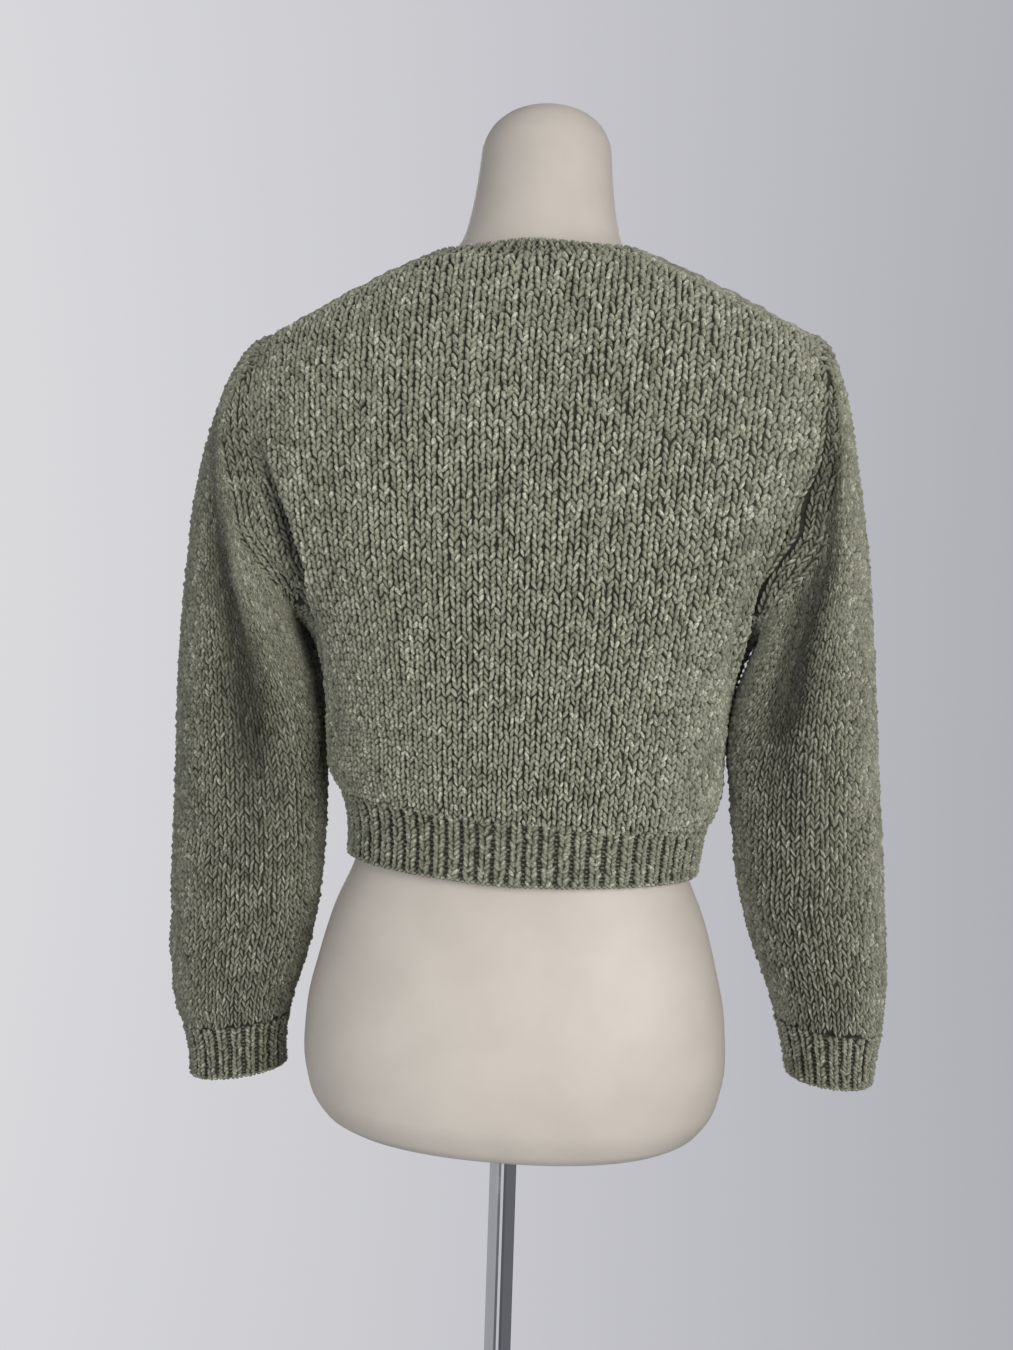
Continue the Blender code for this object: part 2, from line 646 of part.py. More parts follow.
def side_seam(sign):
    """Places up the left side seam, half a seam to the back (sign 1) or to the front (-1)."""
    low = RIB_TOP + SEAM / 2
    heights = [mix(low, ARMHOLE_BOTTOM, i / SIDE_SEAM_ROWS) for i in range(SIDE_SEAM_ROWS + 1)]
    return [(sign * seam_angle(height), height) for height in heights]


def shoulder_seam(sign):
    """Places up the left shoulder seam from armhole to neckline, half a seam to either side."""
    span = (armhole_point(SHOULDER_SEAM_END + 1)[0] - armhole_point(SHOULDER_SEAM_END)[0]).length
    start = armhole_place(SHOULDER_SEAM_END + sign * SEAM / span)
    end = (SHOULDER_SEAM_NECK, NECKLINE.at(SHOULDER_SEAM_NECK)[0])
    places = []
    for i in range(SHOULDER_SEAM_ROWS + 1):
        share = i / SHOULDER_SEAM_ROWS
        angle, height = mix(start[0], end[0], share), mix(start[1], end[1], share)
        step = (cloth_point(angle + 0.5, height) - cloth_point(angle - 0.5, height)).length
        aside = sign * SEAM / step if i > 0 else 0.0
        places.append((angle + aside, height))
    return places


def back_edge():
    """The back panel's left border: side seam, armhole, shoulder seam."""
    turns = armhole_turns()[1:ARMHOLE_BACK_ROWS]
    return side_seam(1) + [armhole_place(turn) for turn in turns] + shoulder_seam(1)


def front_edge():
    """A front's border on the left: side seam, armhole, shoulder seam."""
    turns = list(reversed(armhole_turns()[ARMHOLE_BACK_ROWS + 1:]))
    return side_seam(-1) + [armhole_place(turn) for turn in turns] + shoulder_seam(-1)


def across(place):
    """A place mirrored to the wearer's other side."""
    return 180.0 - place[0], place[1]


def back_places():
    """The back panel's grid of places, from the wearer's left to right."""
    shares = list(BACK_COLUMNS) + [1 - s for s in reversed(BACK_COLUMNS)]
    left = back_edge()
    right = [across(place) for place in left]
    low, high = left[0], left[-1]
    bottom = [(mix(low[0], 180 - low[0], s), low[1]) for s in shares]
    top = []
    for s in shares:
        angle = mix(high[0], 180 - high[0], s)
        top.append((angle, NECKLINE.at(min(angle, 180 - angle))[0]))
    top[0], top[-1] = left[-1], right[-1]
    return panel_rows(left, right, bottom, top, shares)


def front_places(side):
    """A front's grid of places, from its side and shoulder seams to the edge of the front band.

    Each row has a level, its share of the way from the rib to the neckline.  Rows that start at the
    armhole's top or on the shoulder seam first climb to their level, over the top of the sleeve.
    """
    left = front_edge()
    edge_x = BAND_HALF_WIDTH + SEAM / 2
    low = left[0][1]
    levels = []
    for j, (angle, height) in enumerate(left):
        levels.append((height - low) / (NECKLINE.at(angle)[0] - low))
    over_top = SIDE_SEAM_ROWS + ARMHOLE_FRONT_ROWS - 2
    count = len(left) - 1
    targets = [levels[j] if j <= over_top else
               mix(levels[over_top], 1.0, (j - over_top) / (count - over_top))
               for j in range(count + 1)]
    rows = []
    for (angle, _), level, target in zip(left, levels, targets):
        row = []
        edge_angle = -85.0
        for _ in range(4):
            edge_height = mix(low, NECKLINE.at(edge_angle)[0], target)
            edge_angle = angle_at_x(edge_x, edge_height)
        for i in range(FRONT_COLUMNS + 1):
            share = i / FRONT_COLUMNS
            here = mix(angle, edge_angle, share)
            climbed = mix(level, target, smooth_step(share / 0.18))
            row.append((here, mix(low, NECKLINE.at(here)[0], climbed)))
        rows.append(row)
    if side == RIGHT:
        rows = [[(-180.0 - angle, height) for angle, height in row] for row in rows]
    return rows


def panel_pairs(places, lapped=False):
    """The wall's point pairs over a grid of places."""
    return [[wall_pair(angle, height, lapped=lapped) for angle, height in row] for row in places]


# ---------------------------------------------------------------- pieces
def rib_row(angles, height, raised, lapped=False):
    """One row of ribs on the body between the angles of the valleys."""
    places = []
    for i, angle in enumerate(angles):
        outer, inner = wall_pair(angle, height, lapped=lapped)
        place = [outer, inner]
        if i + 1 < len(angles):
            for share in RIB_CREST:
                crest = mix(angle, angles[i + 1], share)
                place.append(wall_pair(crest, height, raised, lapped)[0])
        places.append(tuple(place))
    return places


def make_body(knit):
    """The back and the two fronts, whose rows run down the front as the sleeves' own points do."""
    wall("back_panel", panel_pairs(back_places()), knit)
    wall("front_left", panel_pairs(front_places(LEFT)[::-1]), knit)
    wall("front_right", panel_pairs(front_places(RIGHT)[::-1], lapped=True), knit, flip=True)


def make_hem(rib):
    """The ribbed hem, in a back piece and two front pieces."""
    top = RIB_TOP - SEAM / 2
    heights = [HEM_HEIGHT, mix(HEM_HEIGHT, top, 0.5), top]
    middle = heights[1]
    gap = seam_angle(middle)
    edge = angle_at_x(BAND_HALF_WIDTH + SEAM / 2, middle)
    back = even_angles(middle, gap, 180 - gap, HEM_RIBS_BACK)
    left = even_angles(middle, -gap, edge, HEM_RIBS_FRONT)
    right = [-180 - angle for angle in left]
    ribbed_wall("hem_back", [rib_row(back, h, RIB_HEIGHT) for h in heights], rib)
    for name, angles, lapped, flip in (("hem_front_left", left, False, True),
                                       ("hem_front_right", right, True, False)):
        rows = []
        for height in heights:
            ends = list(angles)
            x = math.copysign(BAND_HALF_WIDTH + SEAM / 2, 1 if not lapped else -1)
            ends[-1] = angle_at_x(x, height)
            rows.append(rib_row(ends, height, RIB_HEIGHT, lapped))
        ribbed_wall(name, rows, rib, flip=flip)


def make_sleeves(knit, rib):
    """Both sleeves, sewn into the armholes, and their ribbed cuffs."""
    turns = armhole_turns()
    valleys = [180.0 - 360.0 * i / CUFF_RIBS for i in range(CUFF_RIBS)]
    rib_turn = 360.0 / CUFF_RIBS
    last = len(LEFT_SLEEVE_ROWS) - 1
    for side, label in ((LEFT, "left"), (RIGHT, "right")):
        rows = []
        for ring in range(CUFF_ROW + 1):
            shift = -SEAM / 2 if ring == CUFF_ROW else 0.0
            rows.append([sleeve_pair(side, ring, turn, shift=shift) for turn in turns])
        wall("sleeve_" + label, rows, knit, closed=True, flip=side == RIGHT)
        rows = []
        for ring in range(CUFF_ROW, last + 1):
            shift = SEAM / 2 if ring == CUFF_ROW else 0.0
            row = []
            for turn in valleys:
                outer, inner = sleeve_pair(side, ring, turn, shift=shift)
                crests = [sleeve_pair(side, ring, turn - rib_turn * share, RIB_HEIGHT, shift)[0]
                          for share in RIB_CREST]
                row.append((outer, inner, crests[0], crests[1]))
            rows.append(row)
        ribbed_wall("cuff_" + label, rows, rib, closed=True, flip=side == RIGHT)


def neckband_up(angle, height):
    """The height at which the neckband's upper edge lies above a place on the neckline."""
    step = 0.002
    climb = (cloth_point(angle, height + step) - cloth_point(angle, height)).length / step
    return height + NECKBAND_WIDTH / climb


def rib_positions(points, pitch):
    """Where ribs meet along a line of points, as index and share, about a pitch apart.

    Long spans are parted evenly, and short ones are taken together.
    """
    positions = [(0, 0.0)]
    run = 0.0
    for i, (a, b) in enumerate(zip(points, points[1:])):
        length = (b - a).length
        run += length
        if length > 1.4 * pitch:
            count = round(length / pitch)
            positions.extend((i, (k + 1) / count) for k in range(count))
            run = 0.0
        elif run > 0.7 * pitch or i == len(points) - 2:
            positions.append((i, 1.0))
            run = 0.0
    return positions


def make_neckband(rib):
    """The ribbed neckband, from one front band round the back to the other.

    Its lower edge follows the panels' own top points, a seam's gap above them.
    """
    back = back_places()[-1]
    left = front_places(LEFT)[-1]
    right = front_places(RIGHT)[-1]
    chain = list(reversed(left)) + back[1:-1] + right
    lapped_from = len(chain) - len(right)
    pairs = []
    for i, (angle, height) in enumerate(chain):
        top = neckband_up(angle, height)
        places = [(angle, height), (angle, mix(height, top, 0.5)), (angle, top)]
        if i in (0, len(chain) - 1):
            x = (BAND_HALF_WIDTH + SEAM / 2) * (1 if i == 0 else -1)
            places = [(angle_at_x(x, h), h) for _, h in places]
        pairs.append([wall_pair(a, h, lapped=i >= lapped_from) for a, h in places])
    positions = rib_positions([column[1][0] for column in pairs], NECKBAND_PITCH)
    rows = []
    for level in range(3):
        valleys = [[a.lerp(b, share) for a, b in zip(pairs[i][level], pairs[i + 1][level])]
                   for i, share in positions]
        rows.append([rib_place(a, b) for a, b in zip(valleys, valleys[1:])] + [valleys[-1]])
    rows[0] = [[point + (above - point).normalized() * SEAM for point, above in zip(place, higher)]
               for place, higher in zip(rows[0], rows[1])]
    ribbed_wall("neckband", rows, rib)


def rib_place(start, end):
    """A rib's valley points, and its crest points on the way to the next valley's."""
    out = (start[0] - start[1]).normalized() * BAND_RIB_HEIGHT
    crests = [start[0].lerp(end[0], share) + out for share in RIB_CREST]
    return start[0], start[1], crests[0], crests[1]


def band_frame(x, height, lift):
    """The middle point and normal of a front band at an x across it."""
    angle = angle_at_x(x, height)
    normal = cloth_normal(angle, height)
    return cloth_point(angle, height) + normal * lift, normal


def band_heights():
    """Heights of the rows of a front band, from the hem to the neckband's upper edge."""
    neck = neckband_up(-90.0, NECKLINE.at(-90.0)[0])
    return [mix(HEM_HEIGHT, neck, i / BAND_ROWS) for i in range(BAND_ROWS + 1)]


def make_front_bands(rib):
    """The under band, plain, and the ribbed band that laps over it with the buttons."""
    heights = band_heights()
    half = BAND_THICKNESS / 2
    edges = [-UNDER_BAND_EDGE, -0.004, 0.005, BAND_HALF_WIDTH - SEAM / 2]
    rows = []
    for height in heights:
        row = []
        for x in edges:
            middle, normal = band_frame(x, height, 0.0)
            row.append((middle + normal * half, middle - normal * half))
        rows.append(row)
    wall("button_band", rows, rib, flip=False)
    lift = lap_lift(0.0)
    width = 2 * BAND_HALF_WIDTH - SEAM / 2
    valleys = [-BAND_HALF_WIDTH + SEAM / 2 + width * i / BAND_RIBS for i in range(BAND_RIBS + 1)]
    rows = []
    for height in heights:
        row = []
        for i, x in enumerate(valleys):
            middle, normal = band_frame(x, height, lift)
            place = [middle + normal * half, middle - normal * half]
            if i < BAND_RIBS:
                for share in RIB_CREST:
                    crest, out = band_frame(mix(x, valleys[i + 1], share), height, lift)
                    place.append(crest + out * (half + BAND_RIB_HEIGHT))
            row.append(tuple(place))
        rows.append(row)
    ribbed_wall("buttonhole_band", rows, rib, flip=False)


def turned(name, profile, steps, material):
    """A body turned round Z from a profile of (radius, height), from its top axis point outwards."""
    mesh = bpy.data.meshes.new(name)
    edges = [(i, i + 1) for i in range(len(profile) - 1)]
    mesh.from_pydata([(radius, 0.0, height) for radius, height in profile], edges, [])
    obj = bpy.data.objects.new(name, mesh)
    obj.data.materials.append(material)
    PART.objects.link(obj)
    screw = obj.modifiers.new("turn", "SCREW")
    screw.steps = steps
    screw.render_steps = steps
    screw.use_merge_vertices = True
    screw.merge_threshold = 0.00001
    screw.use_smooth_shade = True
    return obj


def make_buttons(plastic):
    """A row of plain turned buttons with a raised rim, up the middle of the upper band.

    Each one lies across the band's own slope and rests on its highest point.
    """
    r, t = BUTTON_RADIUS, BUTTON_THICKNESS
    profile = ((0.0, 0.62 * t), (0.62 * r, 0.66 * t), (0.72 * r, t), (0.88 * r, t),
               (r, 0.66 * t), (r, 0.36 * t), (0.82 * r, 0.0), (0.0, 0.0))
    lift = lap_lift(0.0) + BAND_THICKNESS / 2 + BAND_RIB_HEIGHT
    points = [band_frame(0.0, height, lift)[0] for height in band_heights()]
    for i, row in enumerate(BUTTON_ROWS):
        below, seat, above = points[row - 1:row + 2]
        normal = Vector((1, 0, 0)).cross(above - below).normalized()
        reach = [(end - seat).normalized() * BUTTON_RADIUS for end in (below, above)]
        rise = max(0.0, reach[0].dot(normal), reach[1].dot(normal)) + 2 * CLEARANCE
        button = turned("button_%d" % (i + 1), profile, BUTTON_STEPS, plastic)
        button.location = seat + normal * rise
        button.rotation_euler = normal.to_track_quat("Z", "Y").to_euler()


def make_form(plastic):
    """The limbless form: one closed loft of ovals with a flat underside."""
    vertices, faces = [], []
    for row in FIGURE_ROWS:
        for i in range(FORM_STEPS):
            vertices.append(form_point(360.0 * i / FORM_STEPS, row[0]))
    count = len(FIGURE_ROWS)
    for r in range(count - 1):
        for i in range(FORM_STEPS):
            a = r * FORM_STEPS + i
            b = r * FORM_STEPS + (i + 1) % FORM_STEPS
            faces.append((a, b, b + FORM_STEPS, a + FORM_STEPS))
    faces.append(tuple(reversed(range(FORM_STEPS))))
    faces.append(tuple(range((count - 1) * FORM_STEPS, count * FORM_STEPS)))
    new_object("form_torso", vertices, faces, plastic)


def make_stand(chrome):
    """The pole under the form and the round base with its boss."""
    t, e = BASE_THICKNESS, BASE_EDGE
    top = t + BOSS_HEIGHT
    profile = ((0.0, top), (BOSS_RADIUS - 0.0015, top), (BOSS_RADIUS, top - 0.0015),
               (BOSS_RADIUS, t), (BASE_RADIUS - e, t), (BASE_RADIUS, t - e),
               (BASE_RADIUS, 0.001), (BASE_RADIUS - 0.001, 0.0), (0.0, 0.0))
    turned("base", profile, 48, chrome)
    low, high = top + CLEARANCE, FORM_LIFT - CLEARANCE
    bpy.ops.mesh.primitive_cylinder_add(vertices=32, radius=POLE_RADIUS, depth=high - low,
                                        location=(0, 0, (low + high) / 2))
    pole = bpy.context.object
    pole.name = "pole"
    pole.data.name = "pole"
    pole.data.shade_smooth()
    pole.data.set_sharp_from_angle(angle=math.radians(40))
    pole.data.materials.append(chrome)
    for collection in list(pole.users_collection):
        collection.objects.unlink(pole)
    PART.objects.link(pole)


def make_material(name, colour, roughness, metallic=0.0):
    """A plain Principled BSDF material."""
    material = bpy.data.materials.new(name)
    material.use_nodes = True
    shader = material.node_tree.nodes["Principled BSDF"]
    shader.inputs["Base Color"].default_value = (*colour, 1.0)
    shader.inputs["Roughness"].default_value = roughness
    shader.inputs["Metallic"].default_value = metallic
    return material


def main():
    """Build every piece."""
    knit = make_material("sage chenille", (0.235, 0.255, 0.190), 0.95)
    rib = make_material("sage chenille rib", (0.215, 0.235, 0.172), 0.95)
    cream = make_material("cream form", (0.78, 0.74, 0.68), 0.5)
    chrome = make_material("polished steel", (0.75, 0.75, 0.76), 0.12, 1.0)
    button = make_material("sage button", (0.20, 0.21, 0.15), 0.35)
    make_body(knit)
    make_hem(rib)
    make_sleeves(knit, rib)
    make_neckband(rib)
    make_front_bands(rib)
    make_buttons(button)
    make_form(cream)
    make_stand(chrome)


for old in list(bpy.data.objects):
    bpy.data.objects.remove(old, do_unlink=True)
PART = bpy.data.collections.new(OBJECT_NAME)
bpy.context.scene.collection.children.link(PART)
main()
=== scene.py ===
"""Looks of a cropped chunky-knit cardigan on a limbless dress form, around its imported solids.

Metres, +Z up.  The wearer's front faces -Y and the wearer's left is +X, as in the solids.
The tables and formulas of the cloth's middle surface are those of the solids.  Each knitted piece is
a thin shell on that surface, and its stitches are small rounded yarns laid on the shell in the
columns and courses of stocking stitch, or on ribs.
"""

import bpy
import numpy as np
from mathutils import Matrix, Vector


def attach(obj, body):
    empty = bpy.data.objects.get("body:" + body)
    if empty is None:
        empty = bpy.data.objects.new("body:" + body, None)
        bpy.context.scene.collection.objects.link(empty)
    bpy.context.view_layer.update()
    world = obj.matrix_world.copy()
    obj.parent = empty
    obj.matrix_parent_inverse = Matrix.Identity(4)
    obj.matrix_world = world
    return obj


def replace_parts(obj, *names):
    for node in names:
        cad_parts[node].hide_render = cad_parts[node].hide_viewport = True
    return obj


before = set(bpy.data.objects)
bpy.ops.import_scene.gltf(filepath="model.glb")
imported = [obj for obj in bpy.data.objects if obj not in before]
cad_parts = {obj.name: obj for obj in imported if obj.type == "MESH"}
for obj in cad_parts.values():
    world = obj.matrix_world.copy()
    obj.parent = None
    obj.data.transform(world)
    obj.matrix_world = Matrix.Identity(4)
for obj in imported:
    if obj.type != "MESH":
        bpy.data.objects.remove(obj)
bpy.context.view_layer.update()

# ---------------------------------------------------------------- sizes shared with the solids
FORM_LIFT = 0.322              # underside of the form above the floor
FORM_SHIFT = (-0.003, -0.022)  # the form's middle line in plan, from the pole's
CLOTH_THICKNESS = 0.004
CLOTH_GAP = 0.0013             # form to the inside of the cloth, where it rests
HEM_HEIGHT = 0.190             # heights above the form's underside
RIB_TOP = 0.236
ARMHOLE_BOTTOM = 0.368
ARMHOLE_TOP = 0.582
ARMHOLE_BACK = 33.0            # reach of the armhole round the body, in degrees
ARMHOLE_FRONT = 32.0
ARMHOLE_FULLNESS = 0.65
SHOULDER_SEAM_END = 28.0       # degrees round the sleeve
SHOULDER_SEAM_NECK = 40.0      # degrees round the body
NECKBAND_WIDTH = 0.016
NECKBAND_PITCH = 0.0085
NECK_LEAN = -0.0008            # the neck's lean to the wearer's right, from a height up
NECK_LEAN_START, NECK_LEAN_REACH = 0.590, 0.090
RIB_HEIGHT = 0.0022
BAND_RIB_HEIGHT = 0.0014
HEM_RIBS_BACK = 32
HEM_RIBS_FRONT = 14
CUFF_RIBS = 22
CUFF_ROW = 16                  # the rings at the top and the bottom of a cuff
CUFF_END = 18
BAND_HALF_WIDTH = 0.015
BAND_THICKNESS = 0.0034
BAND_RIBS = 3
UNDER_BAND_EDGE = 0.0125
LAP_REACH = 0.016
LAP_GAP = 0.0004               # between the two front bands, one over the other
LEFT, RIGHT = 1, -1

# Columns: height, half_width, centre, back, front, power.
FIGURE_ROWS = (
    (0.0000, 0.1120, 0.010, 0.070, 0.070, 2.2),
    (0.0040, 0.1270, 0.010, 0.083, 0.083, 2.2),
    (0.0120, 0.1385, 0.010, 0.091, 0.090, 2.3),
    (0.0300, 0.1500, 0.010, 0.098, 0.096, 2.3),
    (0.0600, 0.1555, 0.010, 0.100, 0.099, 2.3),
    (0.0900, 0.1540, 0.010, 0.098, 0.098, 2.3),
    (0.1250, 0.1470, 0.008, 0.093, 0.094, 2.3),
    (0.1600, 0.1375, 0.006, 0.086, 0.088, 2.3),
    (0.1950, 0.1235, 0.003, 0.078, 0.081, 2.3),
    (0.2350, 0.1150, 0.000, 0.073, 0.076, 2.3),
    (0.2700, 0.1160, -0.002, 0.073, 0.075, 2.3),
    (0.3100, 0.1245, -0.004, 0.078, 0.079, 2.3),
    (0.3500, 0.1400, -0.005, 0.085, 0.087, 2.35),
    (0.3910, 0.1600, -0.004, 0.091, 0.096, 2.4),
    (0.4400, 0.1775, -0.002, 0.095, 0.100, 2.4),
    (0.5000, 0.1905, 0.002, 0.092, 0.089, 2.4),
    (0.5450, 0.1960, 0.005, 0.083, 0.079, 2.35),
    (0.5650, 0.1970, 0.006, 0.078, 0.075, 2.3),
    (0.5780, 0.1920, 0.006, 0.074, 0.072, 2.25),
    (0.5900, 0.1765, 0.006, 0.070, 0.068, 2.2),
    (0.6050, 0.1525, 0.005, 0.065, 0.063, 2.2),
    (0.6220, 0.1205, 0.003, 0.060, 0.058, 2.2),
    (0.6360, 0.0910, 0.001, 0.056, 0.054, 2.1),
    (0.6480, 0.0695, -0.002, 0.053, 0.052, 2.0),
    (0.6620, 0.0600, -0.005, 0.051, 0.051, 2.0),
    (0.6880, 0.0545, -0.010, 0.050, 0.050, 2.0),
    (0.7120, 0.0515, -0.014, 0.049, 0.050, 2.0),
    (0.7350, 0.0495, -0.017, 0.047, 0.048, 2.0),
    (0.7490, 0.0445, -0.019, 0.042, 0.043, 2.0),
    (0.7590, 0.0350, -0.020, 0.033, 0.034, 2.0),
    (0.7650, 0.0210, -0.020, 0.020, 0.020, 2.0),
    (0.7670, 0.0080, -0.020, 0.008, 0.008, 2.0),
)

# Columns: height, ease at the side, back and front.
EASE_ROWS = (
    (0.190, 0.0002, 0.0020, 0.0015),
    (0.215, 0.0075, 0.0060, 0.0045),
    (0.236, 0.0140, 0.0105, 0.0080),
    (0.246, 0.0210, 0.0150, 0.0110),
    (0.262, 0.0265, 0.0170, 0.0130),
    (0.290, 0.0250, 0.0160, 0.0130),
    (0.320, 0.0200, 0.0130, 0.0115),
    (0.350, 0.0155, 0.0090, 0.0090),
    (0.368, 0.0145, 0.0065, 0.0065),
    (0.391, 0.0200, 0.0045, 0.0040),
    (0.415, 0.0310, 0.0030, 0.0025),
    (0.440, 0.0400, 0.0020, 0.0020),
    (0.480, 0.0410, 0.0015, 0.0020),
    (0.520, 0.0340, 0.0015, 0.0020),
    (0.545, 0.0260, 0.0012, 0.0018),
    (0.565, 0.0150, 0.0010, 0.0015),
    (0.578, 0.0080, 0.0005, 0.0010),
    (0.590, 0.0025, 0.0000, 0.0005),
    (0.605, 0.0000, 0.0000, 0.0000),
)

# How far the cloth rides up on the left and right side.
# Columns: height, left, right.
RIDE_ROWS = (
    (0.190, 0.0090, 0.0030),
    (0.236, 0.0095, -0.0095),
    (0.262, 0.0060, -0.0060),
    (0.300, 0.0000, 0.0000),
)

# Columns: angle, height of the neckline.
NECKLINE_ROWS = (
    (-90.0, 0.5740),
    (-82.0, 0.5775),
    (-72.0, 0.5890),
    (-65.0, 0.5985),
    (-52.0, 0.6130),
    (-35.0, 0.6255),
    (-20.0, 0.6310),
    (0.0, 0.6330),
    (20.0, 0.6330),
    (40.0, 0.6315),
    (60.0, 0.6285),
    (90.0, 0.6270),
)

TROUGH_PATH = ((29.0, 0.505), (41.0, 0.435), (25.0, 0.372), (10.0, 0.315))
TROUGH_DEPTH = 0.0065
TROUGH_REACH = 0.011
DEGREE_LENGTH = 0.0021         # cloth to one degree round the side of the body

# Columns: outer_x, outer_z, inner_x, inner_z, centre, back, front.
LEFT_SLEEVE_ROWS = (
    (0.1990, 0.5860, 0.1650, 0.3680, 0.000, 0.053, 0.055),
    (0.2075, 0.5840, 0.1715, 0.3735, 0.000, 0.055, 0.056),
    (0.2145, 0.5750, 0.1755, 0.3745, 0.000, 0.057, 0.057),
    (0.2235, 0.5580, 0.1765, 0.3700, 0.000, 0.058, 0.058),
    (0.2330, 0.5340, 0.1750, 0.3620, 0.000, 0.058, 0.058),
    (0.2430, 0.5060, 0.1715, 0.3500, 0.000, 0.057, 0.056),
    (0.2520, 0.4700, 0.1665, 0.3350, 0.000, 0.056, 0.056),
    (0.2595, 0.4250, 0.1615, 0.3170, -0.001, 0.054, 0.055),
    (0.2655, 0.3750, 0.1575, 0.2970, -0.002, 0.051, 0.053),
    (0.2685, 0.3250, 0.1560, 0.2730, -0.003, 0.049, 0.051),
    (0.2690, 0.2750, 0.1560, 0.2450, -0.004, 0.047, 0.049),
    (0.2695, 0.2250, 0.1565, 0.2080, -0.005, 0.045, 0.047),
    (0.2705, 0.1750, 0.1585, 0.1720, -0.006, 0.043, 0.045),
    (0.2705, 0.1350, 0.1635, 0.1380, -0.007, 0.042, 0.043),
    (0.2685, 0.1000, 0.1705, 0.1080, -0.008, 0.040, 0.041),
    (0.2655, 0.0760, 0.1780, 0.0850, -0.009, 0.037, 0.038),
    (0.2575, 0.0570, 0.1835, 0.0665, -0.010, 0.033, 0.033),
    (0.2525, 0.0370, 0.1855, 0.0460, -0.010, 0.030, 0.030),
    (0.2505, 0.0185, 0.1845, 0.0275, -0.010, 0.031, 0.031),
)
RIGHT_SLEEVE_ROWS = (
    (0.1990, 0.5860, 0.1650, 0.3680, 0.000, 0.053, 0.055),
    (0.2090, 0.5820, 0.1715, 0.3735, 0.000, 0.055, 0.056),
    (0.2145, 0.5680, 0.1755, 0.3745, 0.000, 0.057, 0.057),
    (0.2200, 0.5490, 0.1765, 0.3700, 0.000, 0.058, 0.058),
    (0.2255, 0.5240, 0.1750, 0.3620, 0.000, 0.058, 0.058),
    (0.2325, 0.4930, 0.1715, 0.3500, 0.000, 0.057, 0.056),
    (0.2395, 0.4550, 0.1665, 0.3350, 0.000, 0.056, 0.056),
    (0.2455, 0.4150, 0.1615, 0.3170, -0.001, 0.054, 0.055),
    (0.2495, 0.3700, 0.1575, 0.2960, -0.002, 0.051, 0.053),
    (0.2530, 0.3250, 0.1560, 0.2740, -0.003, 0.049, 0.051),
    (0.2565, 0.2750, 0.1565, 0.2480, -0.004, 0.047, 0.049),
    (0.2605, 0.2250, 0.1600, 0.2130, -0.005, 0.045, 0.047),
    (0.2635, 0.1850, 0.1645, 0.1850, -0.006, 0.042, 0.044),
    (0.2660, 0.1500, 0.1725, 0.1540, -0.007, 0.041, 0.042),
    (0.2675, 0.1230, 0.1815, 0.1290, -0.008, 0.039, 0.040),
    (0.2665, 0.1010, 0.1895, 0.1080, -0.009, 0.036, 0.037),
    (0.2640, 0.0840, 0.1955, 0.0910, -0.010, 0.033, 0.033),
    (0.2610, 0.0650, 0.2010, 0.0705, -0.010, 0.030, 0.030),
    (0.2590, 0.0470, 0.2045, 0.0505, -0.010, 0.031, 0.031),
)
SLEEVE_ROWS = {LEFT: np.array(LEFT_SLEEVE_ROWS), RIGHT: np.array(RIGHT_SLEEVE_ROWS)}
ARMHOLE_FADE = (1.0, 1.0, 1.0, 0.98, 0.9, 0.74, 0.52, 0.28, 0.1)

# Columns: ring, degrees round the sleeve, depth.
LEFT_TROUGH_ROWS = ((3.0, 66.0, 0.0), (5.0, 74.0, 0.006), (7.0, 92.0, 0.008), (9.0, 104.0, 0.007),
                    (11.0, 108.0, 0.003), (12.5, 110.0, 0.0))
RIGHT_TROUGH_ROWS = ((3.0, 84.0, 0.0), (5.0, 92.0, 0.007), (7.0, 106.0, 0.010), (9.0, 112.0, 0.007),
                     (11.0, 114.0, 0.002), (12.5, 116.0, 0.0))
SLEEVE_TROUGH_REACH = 24.0

# ---------------------------------------------------------------- creases that only the looks have
# Each body crease: path of (angle from the side seam, height), depth, reach on its armhole side,
# reach on its body side, and height of the lip along its body side.  Negative angles are in front.
BODY_CREASES = {
    LEFT: (
        (((36, 0.502), (40, 0.474), (42, 0.440), (40, 0.410), (27, 0.384), (12, 0.356), (7, 0.312)),
         0.0145, 0.0095, 0.0042, 0.0022),
        (((8, 0.318), (30, 0.296), (56, 0.284), (72, 0.272)), 0.0024, 0.0090, 0.0075, 0.0008),
        (((60, 0.250), (78, 0.258), (96, 0.252)), 0.0012, 0.0070, 0.0070, 0.0),
        (((-30, 0.500), (-38, 0.450), (-34, 0.408), (-16, 0.366), (-8, 0.320)),
         0.0080, 0.0090, 0.0050, 0.0014),
        (((-10, 0.300), (-34, 0.282), (-58, 0.270)), 0.0022, 0.0085, 0.0075, 0.0006),
    ),
    RIGHT: (
        (((27, 0.498), (32, 0.468), (34, 0.438), (30, 0.410), (22, 0.388), (11, 0.364), (4, 0.326)),
         0.0115, 0.0080, 0.0042, 0.0020),
        (((4, 0.322), (16, 0.296), (30, 0.270), (44, 0.256)), 0.0022, 0.0080, 0.0075, 0.0008),
        (((-28, 0.496), (-35, 0.448), (-30, 0.404), (-14, 0.364), (-5, 0.318)),
         0.0075, 0.0090, 0.0050, 0.0014),
        (((-8, 0.312), (-28, 0.286), (-50, 0.276)), 0.0020, 0.0085, 0.0075, 0.0006),
    ),
}
